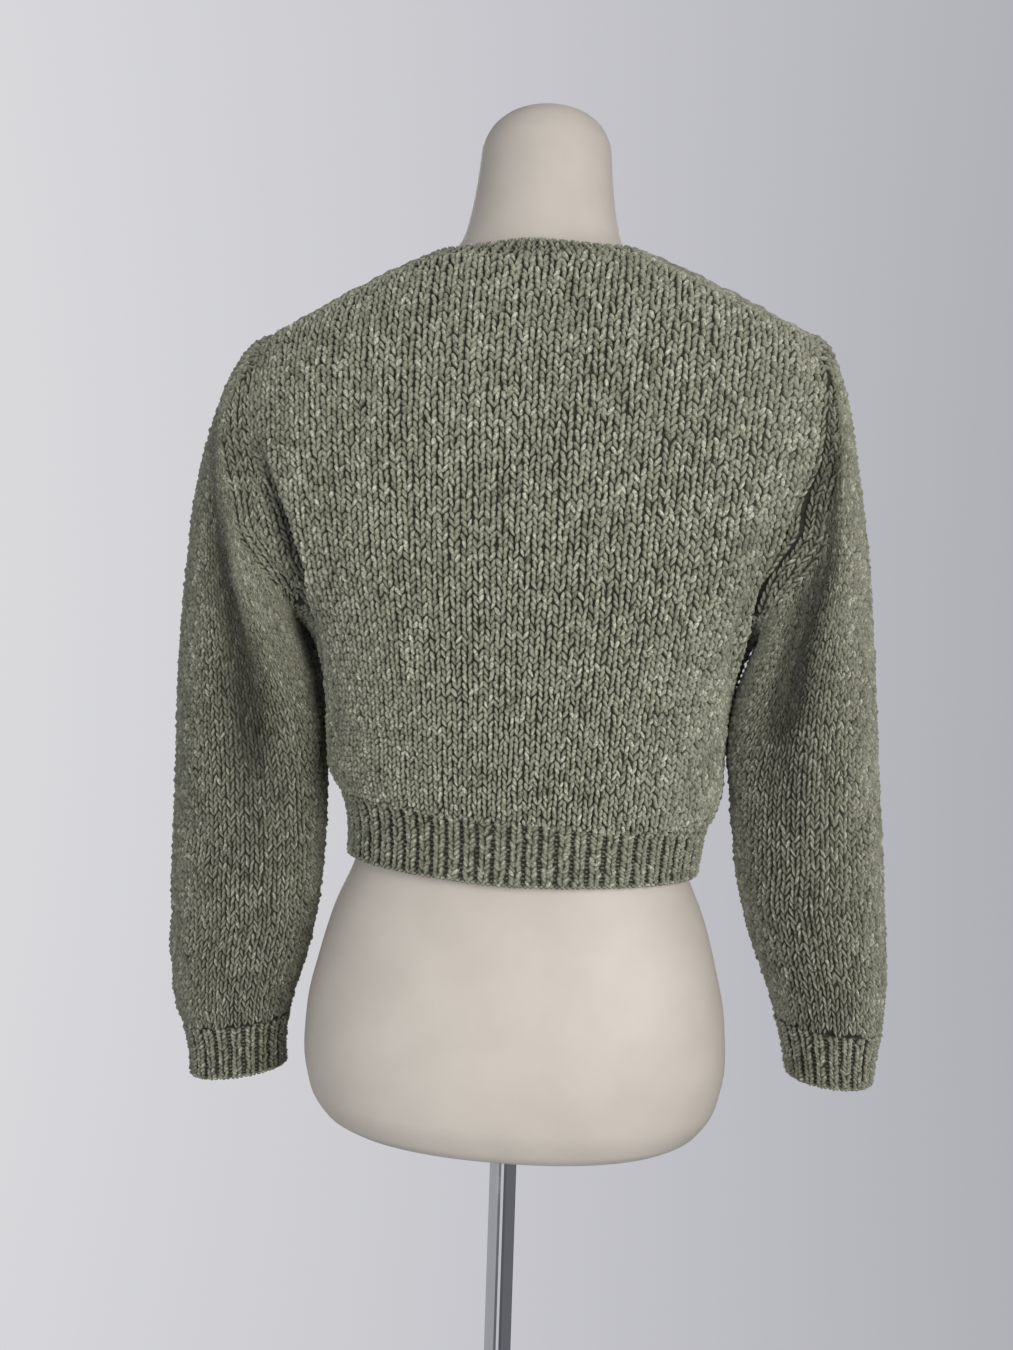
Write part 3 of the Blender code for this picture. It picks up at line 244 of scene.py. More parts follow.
# Each sleeve crease: path of (ring, degrees round the sleeve), then the same.  A negative
# depth is a bulge.
SLEEVE_CREASES = {
    LEFT: (
        (((1.0, 34), (2.2, 46), (3.4, 62), (4.8, 80), (6.4, 92), (8.4, 100), (10.4, 108)),
         0.0030, 0.0240, 0.0240, 0.0),
        (((10.8, 30), (11.4, 70), (11.9, 108), (11.7, 150)), 0.0028, 0.0080, 0.0080, 0.0010),
        (((13.0, 60), (13.6, 96), (13.4, 140)), 0.0018, 0.0070, 0.0080, 0.0008),
        (((12.2, -20), (12.9, 20), (13.0, 60)), 0.0016, 0.0080, 0.0080, 0.0006),
        (((1.2, -80), (3.0, -104), (5.4, -116), (8.0, -120)), 0.0075, 0.0120, 0.0140, 0.0010),
        (((10.6, -40), (11.2, -84), (11.0, -130)), 0.0026, 0.0080, 0.0080, 0.0010),
        (((13.2, -70), (13.7, -110), (13.3, -150)), 0.0018, 0.0080, 0.0070, 0.0008),
    ),
    RIGHT: (
        (((0.8, 46), (1.6, 68), (2.6, 92), (4.0, 112), (5.8, 120), (8.8, 118)),
         0.0090, 0.0260, 0.0210, 0.0),
        (((1.2, 168), (3.0, 175), (5.0, 176), (7.0, 174), (9.6, 168)), -0.0062, 0.0200, 0.0200, 0.0),
        (((1.2, -192), (3.0, -185), (5.0, -184), (7.0, -186), (9.6, -192)), -0.0062, 0.0200, 0.0200, 0.0),
        (((11.8, 40), (12.4, 80), (12.3, 130)), 0.0024, 0.0080, 0.0080, 0.0010),
        (((13.4, 50), (13.9, 100), (13.6, 150)), 0.0018, 0.0070, 0.0080, 0.0008),
        (((10.2, 20), (10.9, 60), (11.2, 96)), 0.0016, 0.0090, 0.0090, 0.0006),
        (((1.0, -84), (2.6, -108), (5.0, -120), (7.6, -116)), 0.0080, 0.0120, 0.0150, 0.0010),
        (((11.4, -40), (12.0, -84), (11.8, -130)), 0.0026, 0.0080, 0.0080, 0.0010),
    ),
}
TURN_LENGTH = 0.00105          # cloth to one degree round a sleeve
BLOUSE = 0.0008                # how far the body and sleeves stand out just above their ribbing

# ---------------------------------------------------------------- the knit
SHELL_OUT = 0.0002             # the shell's two faces, from the cloth's middle surface
SHELL_IN = -0.0018
LENGTH_SAMPLES, LENGTH_STEPS = 361, 280    # places at which lengths across the body are tabled
BODY_COURSES = ((0.236, 0.0041), (0.300, 0.0043), (0.400, 0.0047), (0.640, 0.0047))
BODY_WALES = ((0.236, 0.0068), (0.300, 0.0072), (0.400, 0.0080), (0.520, 0.0086), (0.640, 0.0092))
SLEEVE_WALE = 0.0067
SLEEVE_COURSE = 0.0049
SLEEVE_GATHER_RING = 12.6      # below this ring the sleeve's columns draw together into the cuff
FIRST_COURSE = RIB_TOP - 0.0035     # heights of the body's lowest and highest courses
LAST_COURSE = 0.638
STITCH_MARGIN = 0.0012         # how far a panel's stitches run on over its seams
NECK_MARGIN = 0.0025           # and over its neckline
# A leg of a stitch, at five places from its lower tip to its upper one: wales from the column's
# middle, courses up, half width in wales, and height above the shell in metres.
LEG_ACROSS = np.array((0.03, 0.13, 0.25, 0.35, 0.42))
LEG_UP = np.array((-0.36, 0.00, 0.42, 0.84, 1.16))
LEG_WIDTH = np.array((0.0, 0.175, 0.230, 0.195, 0.0))
LEG_RISE = np.array((0.0002, 0.0019, 0.0028, 0.0021, 0.0003))
# How unlike the legs are: across, lean and up in wales and courses, then plumpness and height.
ACROSS_SPREAD, LEAN_SPREAD, UP_SPREAD, PLUMP_SPREAD, RISE_SPREAD = 0.045, 0.075, 0.09, 0.12, 0.16
YARN_BASE = -0.0003            # a yarn's lower edges, from the shell
TIP_CREST = 0.15               # painted shade at a yarn's tips: how bright they are, from 0 to 1 on its crest
# Waves in which the columns stray sideways: width in wales, turn per course, turn per column.
BODY_WAVES = ((0.22, 0.23, 1.7), (0.15, 0.071, 0.9))
SLEEVE_WAVES = ((0.2, 0.21, 1.3), (0.15, 0.067, 0.8))
STRAY = 0.16                   # share of those waves that is kept
BODY_STAGGER = 0.22            # spread of the columns' courses against each other
SLEEVE_STAGGER = 0.40
# Columns laid along seams: length and width of a stitch, and what it adds to a leg's height.
SEAM_CHAIN = (0.0046, 0.0078, 0.0006)
ARMHOLE_CHAIN = (SLEEVE_COURSE, 0.0074, 0.0002)
ARMHOLE_CHAIN_RINGS = (0.3, 1.05, 1.8, 2.55)
SEAM_ZONE_RING = 2.9           # down to this ring, columns run along the armhole
SEAM_ZONE_START = (34.0, 68.0)     # degrees round the sleeve in which that zone widens
SEAM_ZONE_END = (138.0, 164.0)     # and narrows
UNDERARM_MARGIN = 0.0008       # from the sleeve's columns to the line under the arm
# Purl bumps in the valleys of ribs and bobbles on edges: half width, and height at five places.
BUMP_SHAPE = np.array((0.0, 0.9, 1.0, 0.9, 0.0))
PURL = (0.0010, (0.0004, 0.0009, 0.0010, 0.0009, 0.0004))
BOBBLE = (0.0015, (0.0001, 0.0014, 0.0018, 0.0014, 0.0001))
PURL_REACH, BOBBLE_REACH = 0.19, 0.17      # to each side, in ribs
PURL_ARCH = np.array((0.1, 0.25, 0.32, 0.25, 0.1))     # in courses
BOBBLE_PLACES = (0.012, 0.985)             # on the lower and upper edge, as shares of the width
RIB_LEG_SPREAD = 0.78          # how far a V spreads over its rib
RIB_LEG_WIDTH, RIB_LEG_RISE = 0.84, 0.72   # a rib's leg against one of the plain knit
RIB_LEG_START = 0.4            # how far up the first course lies, in courses
HEM_WALE, CUFF_WALE, BAND_WALE = 0.0113, 0.0090, 0.0098
RIB_COURSES = 14               # courses of the hem and of each cuff
BAND_COURSE = 0.0034
RIB_POINTS = 8                 # points of a shell across one rib

CREASE_SHADE = 0.80            # how much painted shade darkens the yarn deep in a crease
BODY_SHADE_DEPTH = 0.011       # depth of a deep crease on the body, for its painted shade
SLEEVE_SHADE_DEPTH = 0.0075    # and on a sleeve
# Painted shade on the purl bumps in the ribs' valleys
PURL_SHADE = 0.6
SEED = 20
rng = np.random.default_rng(SEED)


# ---------------------------------------------------------------- tables read as smooth curves
class Curve:
    """The rows of a table, joined column by column with a smooth curve that never overshoots."""

    def __init__(self, rows):
        table = np.array(rows, float)
        self.keys, self.values = table[:, 0], table[:, 1:]
        spans = np.diff(self.values, axis=0) / np.diff(self.keys)[:, None]
        both, total = spans[:-1] * spans[1:], spans[:-1] + spans[1:]
        inner = np.where(both > 0, 2 * both / np.where(total == 0, 1.0, total), 0.0)
        self.slopes = np.vstack((spans[:1], inner, spans[-1:]))

    def at(self, key):
        """Every column's values at an array of keys, held level beyond the table's ends."""
        key = np.clip(key, self.keys[0], self.keys[-1])
        i = np.clip(np.searchsorted(self.keys, key) - 1, 0, len(self.keys) - 2)
        span = (self.keys[i + 1] - self.keys[i])[..., None]
        t = (key - self.keys[i])[..., None] / span
        rise = t * t * (3 - 2 * t)
        leave, arrive = t * (1 - t) * (1 - t), t * t * (t - 1)
        start, end = self.values[i], self.values[i + 1]
        result = start + (end - start) * rise + span * (self.slopes[i] * leave + self.slopes[i + 1] * arrive)
        return np.moveaxis(result, -1, 0)


FIGURE = Curve(FIGURE_ROWS)
EASE = Curve(EASE_ROWS)
NECKLINE = Curve(NECKLINE_ROWS)
RIDE = Curve(RIDE_ROWS)
TROUGHS = {LEFT: Curve(LEFT_TROUGH_ROWS), RIGHT: Curve(RIGHT_TROUGH_ROWS)}


def smooth_step(value):
    """0 below 0, 1 above 1, and a smooth rise between."""
    t = np.clip(value, 0.0, 1.0)
    return t * t * (3 - 2 * t)


def mix(a, b, share):
    """The value a share of the way from a to b."""
    return a + (b - a) * share


def unit(vectors):
    """Vectors brought to length 1."""
    return vectors / np.maximum(np.linalg.norm(vectors, axis=-1, keepdims=True), 1e-12)


def cosine(degrees):
    """Cosine of an angle in degrees."""
    return np.cos(np.radians(degrees))


def sine(degrees):
    """Sine of an angle in degrees."""
    return np.sin(np.radians(degrees))


def run_along(points):
    """Length along a line of points up to each of them."""
    return np.concatenate(([0.0], np.cumsum(np.linalg.norm(np.diff(points, axis=0), axis=1))))


def even_place(value, marks):
    """Where values lie among evenly spaced marks, counted in marks."""
    return (value - marks[0]) / (marks[1] - marks[0])


def read_table(table, i, j):
    """A table of numbers or of points, read between its entries at column i and row j."""
    i = np.clip(i, 0, table.shape[1] - 1.001)
    j = np.clip(j, 0, table.shape[0] - 1.001)
    i0, j0 = np.floor(i).astype(int), np.floor(j).astype(int)
    s, t = i - i0, j - j0
    if table.ndim == 3:
        s, t = s[..., None], t[..., None]
    low = table[j0, i0] * (1 - s) + table[j0, i0 + 1] * s
    high = table[j0 + 1, i0] * (1 - s) + table[j0 + 1, i0 + 1] * s
    return low * (1 - t) + high * t


# ---------------------------------------------------------------- surfaces
def oval(angle, half_width, back, front, power):
    """Points of an oval in plan, at angles in degrees from +X towards the back."""
    c, s = cosine(angle), sine(angle)
    depth = np.where(s > 0, back, front)
    x = np.copysign(half_width * np.abs(c) ** (2 / power), c)
    y = np.copysign(depth * np.abs(s) ** (2 / power), s)
    return x, y


def form_point(angle, height):
    """Points on the form."""
    half_width, centre, back, front, power = FIGURE.at(height)
    x, y = oval(angle, half_width, back, front, power)
    lean = NECK_LEAN * smooth_step((height - NECK_LEAN_START) / NECK_LEAN_REACH)
    return np.stack((FORM_SHIFT[0] + lean + x, FORM_SHIFT[1] + centre + y, FORM_LIFT + height), -1)


def surface_normal(surface, angle, height):
    """The outward normals of a surface given by an angle and a height, from points close by."""
    across = surface(angle + 0.6, height) - surface(angle - 0.6, height)
    up = surface(angle, height + 0.0006) - surface(angle, height - 0.0006)
    return unit(np.cross(across, up))


def path_place(x, y, path):
    """Signed distance from a path in plan units, and the share of the way along it."""
    points = np.array(path, float)
    runs = np.diff(points, axis=0)
    lengths = np.hypot(runs[:, 0], runs[:, 1])
    before = np.concatenate(([0.0], np.cumsum(lengths)))
    nearest = np.full(np.shape(x), 1e9)
    signed, along = np.zeros(np.shape(x)), np.zeros(np.shape(x))
    for start, run, length, passed in zip(points, runs, lengths, before):
        dx, dy = x - start[0], y - start[1]
        share = np.clip((dx * run[0] + dy * run[1]) / length ** 2, 0.0, 1.0)
        dx, dy = dx - share * run[0], dy - share * run[1]
        distance = np.hypot(dx, dy)
        closer = distance < nearest
        side = np.where(run[0] * dy - run[1] * dx >= 0, 1.0, -1.0)
        nearest = np.where(closer, distance, nearest)
        signed = np.where(closer, side * distance, signed)
        along = np.where(closer, (passed + share * length) / before[-1], along)
    return signed, along


def crease_relief(x, y, creases):
    """Offset of the cloth from creases: sunk along each path, or raised, with a lip on one side."""
    relief = np.zeros(np.shape(x))
    for path, depth, reach_out, reach_in, lip in creases:
        distance, along = path_place(x, y, path)
        ends = np.sin(np.pi * np.clip(along, 0.0, 1.0)) ** 0.6
        reach = np.where(distance > 0, reach_in, reach_out)
        relief -= depth * ends * np.exp(-(distance / reach) ** 2)
        relief += lip * ends * np.exp(-((distance - 2.1 * reach_in) / (1.2 * reach_in)) ** 2)
    return relief


def folded(angle):
    """Angles counted from the nearer side seam: above 0 on the back, below 0 in front."""
    return np.where(angle > 90, 180 - angle, np.where(angle < -90, -180 - angle, angle))


def wrapped(angle):
    """Angles brought between -180 and 180."""
    return (angle + 180.0) % 360.0 - 180.0


def trough_depth(angle, height):
    """How far the diagonal trough inside each armhole sinks the back's cloth."""
    side_angle = np.where(angle <= 90, angle, 180 - angle)
    path = np.array([(a * DEGREE_LENGTH, h) for a, h in TROUGH_PATH])
    x, y = side_angle * DEGREE_LENGTH, height
    nearest, along = np.full(np.shape(x), 1e9), np.zeros(np.shape(x))
    for i, (start, end) in enumerate(zip(path, path[1:])):
        run = end - start
        share = ((x - start[0]) * run[0] + (y - start[1]) * run[1]) / (run @ run)
        share = np.clip(share, 0.0, 1.0)
        distance = np.hypot(x - start[0] - share * run[0], y - start[1] - share * run[1])
        closer = distance < nearest
        nearest = np.where(closer, distance, nearest)
        along = np.where(closer, (i + share) / (len(path) - 1), along)
    ends = np.maximum(np.sin(np.pi * along), 0.0) ** 0.7
    return TROUGH_DEPTH * ends * np.exp(-(nearest / TROUGH_REACH) ** 2)


def body_creases(angle, height):
    """Offset of the body's cloth from the looks' own creases."""
    side_angle = folded(angle)
    relief = np.zeros(np.shape(angle))
    for side, here in ((LEFT, np.abs(angle) <= 90), (RIGHT, np.abs(angle) > 90)):
        for in_front in (False, True):
            sign = -1 if in_front else 1
            chosen = here & ((side_angle < 0) == in_front)
            creases = []
            for path, *sizes in BODY_CREASES[side]:
                if (path[1][0] < 0) == in_front:
                    creases.append(([(sign * a * DEGREE_LENGTH, h) for a, h in path], *sizes))
            found = crease_relief(sign * side_angle * DEGREE_LENGTH, height, creases)
            relief = np.where(chosen, found, relief)
    above = height - RIB_TOP
    blouse = BLOUSE * smooth_step((above + 0.004) / 0.004) * (1 - smooth_step(above / 0.020))
    return relief * smooth_step(above / 0.012) + blouse


def ride(angle, height):
    """How far the cloth rides up at a place, most at the sides and not at all in the middle."""
    left, right = RIDE.at(height)
    c = cosine(angle)
    return np.where(c > 0, c * left, -c * right)


def cloth_point(angle, height, creased=False):
    """Points on the middle surface of the body's cloth."""
    power = FIGURE.at(height)[4]
    ease_side, ease_back, ease_front = EASE.at(height)
    stand = CLOTH_GAP + CLOTH_THICKNESS / 2 - trough_depth(angle, height)
    if creased:
        stand = stand + body_creases(angle, height)
    x, y = oval(angle, ease_side, ease_back, ease_front, power)
    ease = np.stack((x, y, np.zeros(np.shape(x))), -1)
    level = height + ride(angle, height)
    return form_point(angle, level) + surface_normal(form_point, angle, level) * stand[..., None] + ease


def creased_cloth(angle, height):
    """The body's cloth with the looks' own creases."""
    return cloth_point(angle, height, True)


def lap_lift(x):
    """How far the wearer's right front rises, near its edge, to lie over the under band."""
    rise = CLOTH_THICKNESS / 2 + BAND_THICKNESS / 2 + LAP_GAP
    return rise * smooth_step((x + BAND_HALF_WIDTH + LAP_REACH) / LAP_REACH)


def armhole_place(turn):
    """Angle and height on the body at a turn round the armhole: 0 top, 90 back, 180 underarm."""
    c, s = cosine(turn), sine(turn)
    reach = np.where(s > 0, ARMHOLE_BACK, ARMHOLE_FRONT)
    height = ARMHOLE_BOTTOM + (ARMHOLE_TOP - ARMHOLE_BOTTOM) * (1 + c) / 2
    return np.copysign(reach * np.abs(s) ** ARMHOLE_FULLNESS, s), height


def ring_values(side, ring):
    """The sleeve's columns at any place between its rings, on a smooth curve through them."""
    rows = SLEEVE_ROWS[side]
    last = len(rows) - 1
    i = np.clip(np.floor(ring).astype(int), 0, last - 1)
    t = (ring - i)[..., None]
    a, b = rows[np.maximum(i - 1, 0)], rows[i]
    c, d = rows[i + 1], rows[np.minimum(i + 2, last)]
    curve = 2 * b + (c - a) * t + (2 * a - 5 * b + 4 * c - d) * t * t + (3 * b - a - 3 * c + d) * t ** 3
    return np.moveaxis(curve / 2, -1, 0)


def ring_oval(side, ring, turn):
    """Points of a plain ring on the left, before the armhole's shape and the folds are added."""
    outer_x, outer_z, inner_x, inner_z, centre, back, front = ring_values(side, ring)
    c, s = cosine(turn), sine(turn)
    depth = np.where(s > 0, back, front)
    x = (outer_x + inner_x) / 2 + (outer_x - inner_x) / 2 * c
    z = (outer_z + inner_z) / 2 + (outer_z - inner_z) / 2 * c
    return np.stack((FORM_SHIFT[0] + x, FORM_SHIFT[1] + centre + depth * s, FORM_LIFT + z), -1)


def sleeve_surface(side, ring, turn):
    """Points of the sleeve's middle surface without its folds, as if it were on the left."""
    fade = ARMHOLE_FADE + (0.0,)
    share = np.interp(ring, range(len(fade)), fade)[..., None]
    armhole = cloth_point(*armhole_place(turn)) - ring_oval(side, np.zeros(np.shape(ring)), turn)
    return ring_oval(side, ring, turn) + armhole * share


def armhole_creases(side, turn):
    """How far the looks' own creases move the armhole's edge, as if it were on the left."""
    angle, height = armhole_place(turn)
    if side == RIGHT:
        angle = np.where(angle > 0, 180 - angle, -180 - angle)
    return (creased_cloth(angle, height) - cloth_point(angle, height)) * np.array((side, 1.0, 1.0))


def sleeve_fold(side, ring, turn):
    """Offset of the sleeve's cloth from its long trough and the looks' own creases."""
    middle, depth = TROUGHS[side].at(ring)
    fold = -depth * np.exp(-((turn - middle) / SLEEVE_TROUGH_REACH) ** 2)
    lengths = RING_LENGTHS[side]
    x, y = turn * TURN_LENGTH, np.interp(ring, range(len(lengths)), lengths)
    creases = [([(t * TURN_LENGTH, float(np.interp(r, range(len(lengths)), lengths))) for r, t in path],
                *sizes) for path, *sizes in SLEEVE_CREASES[side]]
    fold = (fold + crease_relief(x, y, creases)) * smooth_step(ring)
    blouse = smooth_step((ring - CUFF_ROW + 1.2) / 0.9) * (1 - smooth_step((ring - CUFF_ROW) / 0.1))
    return fold + BLOUSE * blouse


def sleeve_point(side, ring, turn):
    """Points of the sleeve's middle surface with all its folds, on its own side."""
    inside = np.clip(ring, 0.02, len(SLEEVE_ROWS[side]) - 1.02)
    along = sleeve_surface(side, inside + 0.02, turn) - sleeve_surface(side, inside - 0.02, turn)
    around = sleeve_surface(side, inside, turn + 1) - sleeve_surface(side, inside, turn - 1)
    normal = unit(np.cross(along, around))
    fold = sleeve_fold(side, ring, turn)
    point = sleeve_surface(side, ring, turn) + normal * fold[..., None]
    point = point + armhole_creases(side, turn) * (1 - smooth_step(ring / 1.6))[..., None]
    if side == RIGHT:
        point[..., 0] = 2 * FORM_SHIFT[0] - point[..., 0]
    return point


def ring_lengths(side):
    """Length down the sleeve's back to each ring."""
    rings = np.arange(len(SLEEVE_ROWS[side]), dtype=float)
    return run_along(ring_oval(side, rings, np.full(len(rings), 90.0)))


RING_LENGTHS = {LEFT: ring_lengths(LEFT), RIGHT: ring_lengths(RIGHT)}


class Grid:
    """A surface held as points and normals on an even grid and read between them."""

    def __init__(self, across, along, points, normals=None, outward=1):
        self.across, self.along, self.points, self.normals = across, along, points, normals
        if normals is None:
            over, up = np.gradient(points, axis=1), np.gradient(points, axis=0)
            self.normals = unit(np.cross(over, up)) * outward

    def at(self, a, b):
        """Points and unit normals at places given by across and along values."""
        i, j = even_place(a, self.across), even_place(b, self.along)
        return read_table(self.points, i, j), unit(read_table(self.normals, i, j))


def surface_grid(surface, across, along, outward=1):
    """A surface given by a formula, held as a grid."""
    return Grid(across, along, surface(*np.meshgrid(across, along)), outward=outward)


class Lengths:
    """Turns a length across a surface, from a start line, into the surface's own across value."""

    def __init__(self, grid, starts, left, right, reach):
        values = np.linspace(0.0, 1.0, LENGTH_SAMPLES) * (right - left) + left
        sign = 1.0 if right > left else -1.0
        self.along = grid.along
        self.lengths = np.linspace(-reach, reach, LENGTH_STEPS)
        rows = []
        for level in grid.along:
            run = run_along(grid.at(values, np.full(len(values), level))[0])
            zero = np.interp(sign * starts, sign * values, run)
            rows.append(np.interp(self.lengths, run - zero, values))
        self.table = np.array(rows)

    def at(self, length, along):
        """The across value at a length on the level given by along."""
        return read_table(self.table, even_place(length, self.lengths), even_place(along, self.along))


# ---------------------------------------------------------------- meshes
def link_object(name, data):
    """A new object in the scene."""
    obj = bpy.data.objects.new(name, data)
    bpy.context.scene.collection.objects.link(obj)
    return obj


def new_piece(name, points, quads, triangles, material, values=()):
    """A smooth mesh object from arrays, riding on the root body.

    values holds (name, numbers) pairs, with a number for each point that the material reads.
    """
    mesh = bpy.data.meshes.new(name)
    quads = np.asarray(quads, np.int64).reshape(-1, 4)
    triangles = np.asarray(triangles, np.int64).reshape(-1, 3)
    mesh.vertices.add(len(points))
    mesh.vertices.foreach_set("co", np.asarray(points, np.float32).ravel())
    corners = np.concatenate((quads.ravel(), triangles.ravel()))
    mesh.loops.add(len(corners))
    mesh.loops.foreach_set("vertex_index", corners.astype(np.int32))
    starts = np.concatenate((np.arange(len(quads)) * 4, len(quads) * 4 + np.arange(len(triangles)) * 3))
    mesh.polygons.add(len(starts))
    mesh.polygons.foreach_set("loop_start", starts.astype(np.int32))
    mesh.update(calc_edges=True)
    mesh.shade_smooth()
    for label, numbers in values:
        attribute = mesh.attributes.new(label, "FLOAT", "POINT")
        attribute.data.foreach_set("value", np.asarray(numbers, np.float32).ravel())
    obj = link_object(name, mesh)
    obj.data.materials.append(material)
    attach(obj, "root")
    return obj


def grid_quads(rows, columns, first=0, closed=False):
    """Quads between neighbouring points of a grid; closed joins each row's end to its start."""
    r = np.arange(rows - 1)[:, None]
    c = np.arange(columns if closed else columns - 1)[None, :]
    after = (c + 1) % columns
    a, b = r * columns + c, r * columns + after
    return np.stack((a, b, b + columns, a + columns), -1).reshape(-1, 4) + first


def shell(name, points, normals, closed=False, flip=False, out=SHELL_OUT, inward=SHELL_IN):
    """A thin closed shell on both sides of a grid of middle points (rows, columns, 3)."""
    rows, columns = points.shape[:2]
    outer = points + normals * (out[..., None] if np.ndim(out) else out)
    inner = points + normals * inward
    count = rows * columns
    quads = [grid_quads(rows, columns, 0, closed), grid_quads(rows, columns, count, closed)[:, ::-1]]
    c = np.arange(columns if closed else columns - 1)
    after = (c + 1) % columns
    quads.append(np.stack((c, c + count, after + count, after), -1))
    top = (rows - 1) * columns
    quads.append(np.stack((top + c, top + after, top + after + count, top + c + count), -1))
    if not closed:
        r = np.arange(rows - 1) * columns
        quads.append(np.stack((r, r + columns, r + columns + count, r + count), -1))
        e = r + columns - 1
        quads.append(np.stack((e, e + count, e + columns + count, e + columns), -1))
    faces = np.concatenate(quads)
    if flip:
        faces = faces[:, ::-1]
    both = np.concatenate((outer.reshape(-1, 3), inner.reshape(-1, 3)))
    # Every shell is near black: painted shade in the gaps between its yarns
    return new_piece(name, both, faces, [], PAINTED_SHADE_GROUND)


# A yarn's section with three or four points: shares of its half width and of its height.
SECTIONS = {3: ((-1.0, 0.0, 1.0), (0.0, 1.08, 0.0)),
            4: ((-1.0, -0.52, 0.52, 1.0), (0.0, 1.0, 1.0, 0.0))}


def yarns(name, parts, section=3):
    """Short rounded yarns, each along five points: a tip, three sections and a tip.

    parts is a list of (points, normals, half_widths, rises, sunk): the first two (count, 5, 3), the
    next two (count, 5), and sunk (count,), from 0 on open cloth to 1 deep in a crease, the share of
    painted shade on the yarn's colour.
    """
    points, normals, half_widths, rises, sunk = (np.concatenate(arrays) for arrays in zip(*parts))
    count = len(points)
    across, up = (np.array(values) for values in SECTIONS[section])
    along = unit(np.gradient(points, axis=1))
    aside = unit(np.cross(normals, along))
    body = points[:, 1:4, None, :] \
        + aside[:, 1:4, None, :] * (half_widths[:, 1:4, None] * across)[..., None] \
        + normals[:, 1:4, None, :] * (YARN_BASE + (rises[:, 1:4, None] - YARN_BASE) * up)[..., None]
    tips = points[:, (0, 4)] + normals[:, (0, 4)] * rises[:, (0, 4), None]
    vertices = np.concatenate((tips[:, :1], body.reshape(count, -1, 3), tips[:, 1:]), axis=1)
    quads, triangles = [], []
    last = 1 + 3 * section
    for k in range(section - 1):
        triangles.append((0, 1 + k, 2 + k))
        for j in range(2):
            a = 1 + j * section + k
            quads.append((a, a + section, a + section + 1, a + 1))
        b = 1 + 2 * section + k
        triangles.append((b, last, b + 1))
    steps = (np.arange(count) * (last + 1))[:, None, None]
    quads = (np.array(quads)[None] + steps).reshape(-1, 4)
    triangles = (np.array(triangles)[None] + steps).reshape(-1, 3)
    # crest: 0 on a yarn's edges, low at its tips, 1 along its top, less deep in creases; the chenille
    # material turns it into painted shade and a painted highlight
    crest = np.concatenate(((TIP_CREST,), np.tile(np.clip(up, 0.0, 1.0), 3), (TIP_CREST,)))
    crest = crest[None, :] * (1 - CREASE_SHADE * sunk[:, None])
    tone = np.repeat(rng.normal(0.5, 0.22, count).clip(0.0, 1.0), last + 1)
    return new_piece(name, vertices.reshape(-1, 3), quads, triangles, KNIT,
                     (("crest", crest), ("tone", tone)))


def leg_places(columns, courses):
    """Column, course and side of the two legs of every stitch."""
    column, course = (np.repeat(v.ravel(), 2).astype(float)
                      for v in np.meshgrid(columns, np.arange(courses)))
    return column, course, np.tile((-1.0, 1.0), len(column) // 2)


def leg_paths(columns, courses, sides):
    """Wale and course positions of the five places of each leg, with its own small unevenness."""
    count = len(columns)
    across = LEG_ACROSS + rng.normal(0, ACROSS_SPREAD, (count, 1))
    lean = rng.normal(0, LEAN_SPREAD, (count, 1)) * np.linspace(-1, 1, 5)
    up = LEG_UP + rng.normal(0, UP_SPREAD, (count, 1))
    return columns[:, None] + sides[:, None] * (across + lean), courses[:, None] + up


def leg_sizes(count, wale, fullness=1.0):
    """Half widths and rises of legs on wales of a width."""
    plump = rng.normal(1.0, PLUMP_SPREAD, (count, 1)).clip(0.7, 1.3)
    widths = LEG_WIDTH * np.reshape(wale, (-1, 1)) * plump
    rises = LEG_RISE * rng.normal(1.0, RISE_SPREAD, (count, 1)).clip(0.6, 1.4) * fullness
    return widths, rises


def strayed(wales, ups, column, waves):
    """Wales of columns that stray a little sideways."""
    stray = sum(width * np.sin(ups * rate + column[:, None] * step) for width, rate, step in waves)
    return wales + stray * STRAY


def shade(depth, deep):
    """How deep in a crease places are, from 0 on open cloth to 1: the share of painted shade there."""
    return np.clip(depth / deep - 0.15, 0.0, 1.0)


def chain(points, normals, pitch, width, rise):
    """The legs of one column of stitches laid along a seam, given by points and normals along it."""
    run = run_along(points)
    count = int(run[-1] / pitch)
    step = np.repeat(np.arange(count, dtype=float), 2)
    wales, ups = leg_paths(np.zeros(len(step)), step, np.tile((-1.0, 1.0), count))
    place = (ups + 0.1) * run[-1] / count
    middle, normal, heading = (np.stack([np.interp(place, run, line[:, k]) for k in range(3)], -1)
                               for line in (points, normals, np.gradient(points, axis=0)))
    normal = unit(normal)
    aside = unit(np.cross(normal, heading))
    widths, rises = leg_sizes(len(step), width)
    return middle + aside * (wales * width)[..., None], normal, widths, rises + rise, np.zeros(len(step))


def bumps(points, normals, half_width, rises, sunk):
    """Yarns of one size, thickest in the middle."""
    count = len(points)
    widths = np.tile(BUMP_SHAPE * half_width, (count, 1))
    return points, normals, widths, np.tile(rises, (count, 1)), np.full(count, sunk)


def count_up(spacing, start, stop):
    """Heights of the courses between two heights, at a spacing given by a table."""
    heights = [start]
    keys, steps = zip(*spacing)
    while heights[-1] < stop:
        heights.append(heights[-1] + float(np.interp(heights[-1], keys, steps)))
    return np.array(heights)


# ---------------------------------------------------------------- materials
def feed(tree, node, inputs):
    """Give a node's inputs their values, or link them to the sockets that feed them."""
    for key, value in inputs.items():
        if isinstance(value, bpy.types.NodeSocket):
            tree.links.new(value, node.inputs[key])
        else:
            node.inputs[key].default_value = value


def add_node(tree, kind, inputs=None, **settings):
    """A new node with its settings and inputs."""
    node = tree.nodes.new(kind)
    for key, value in settings.items():
        setattr(node, key, value)
    feed(tree, node, inputs or {})
    return node


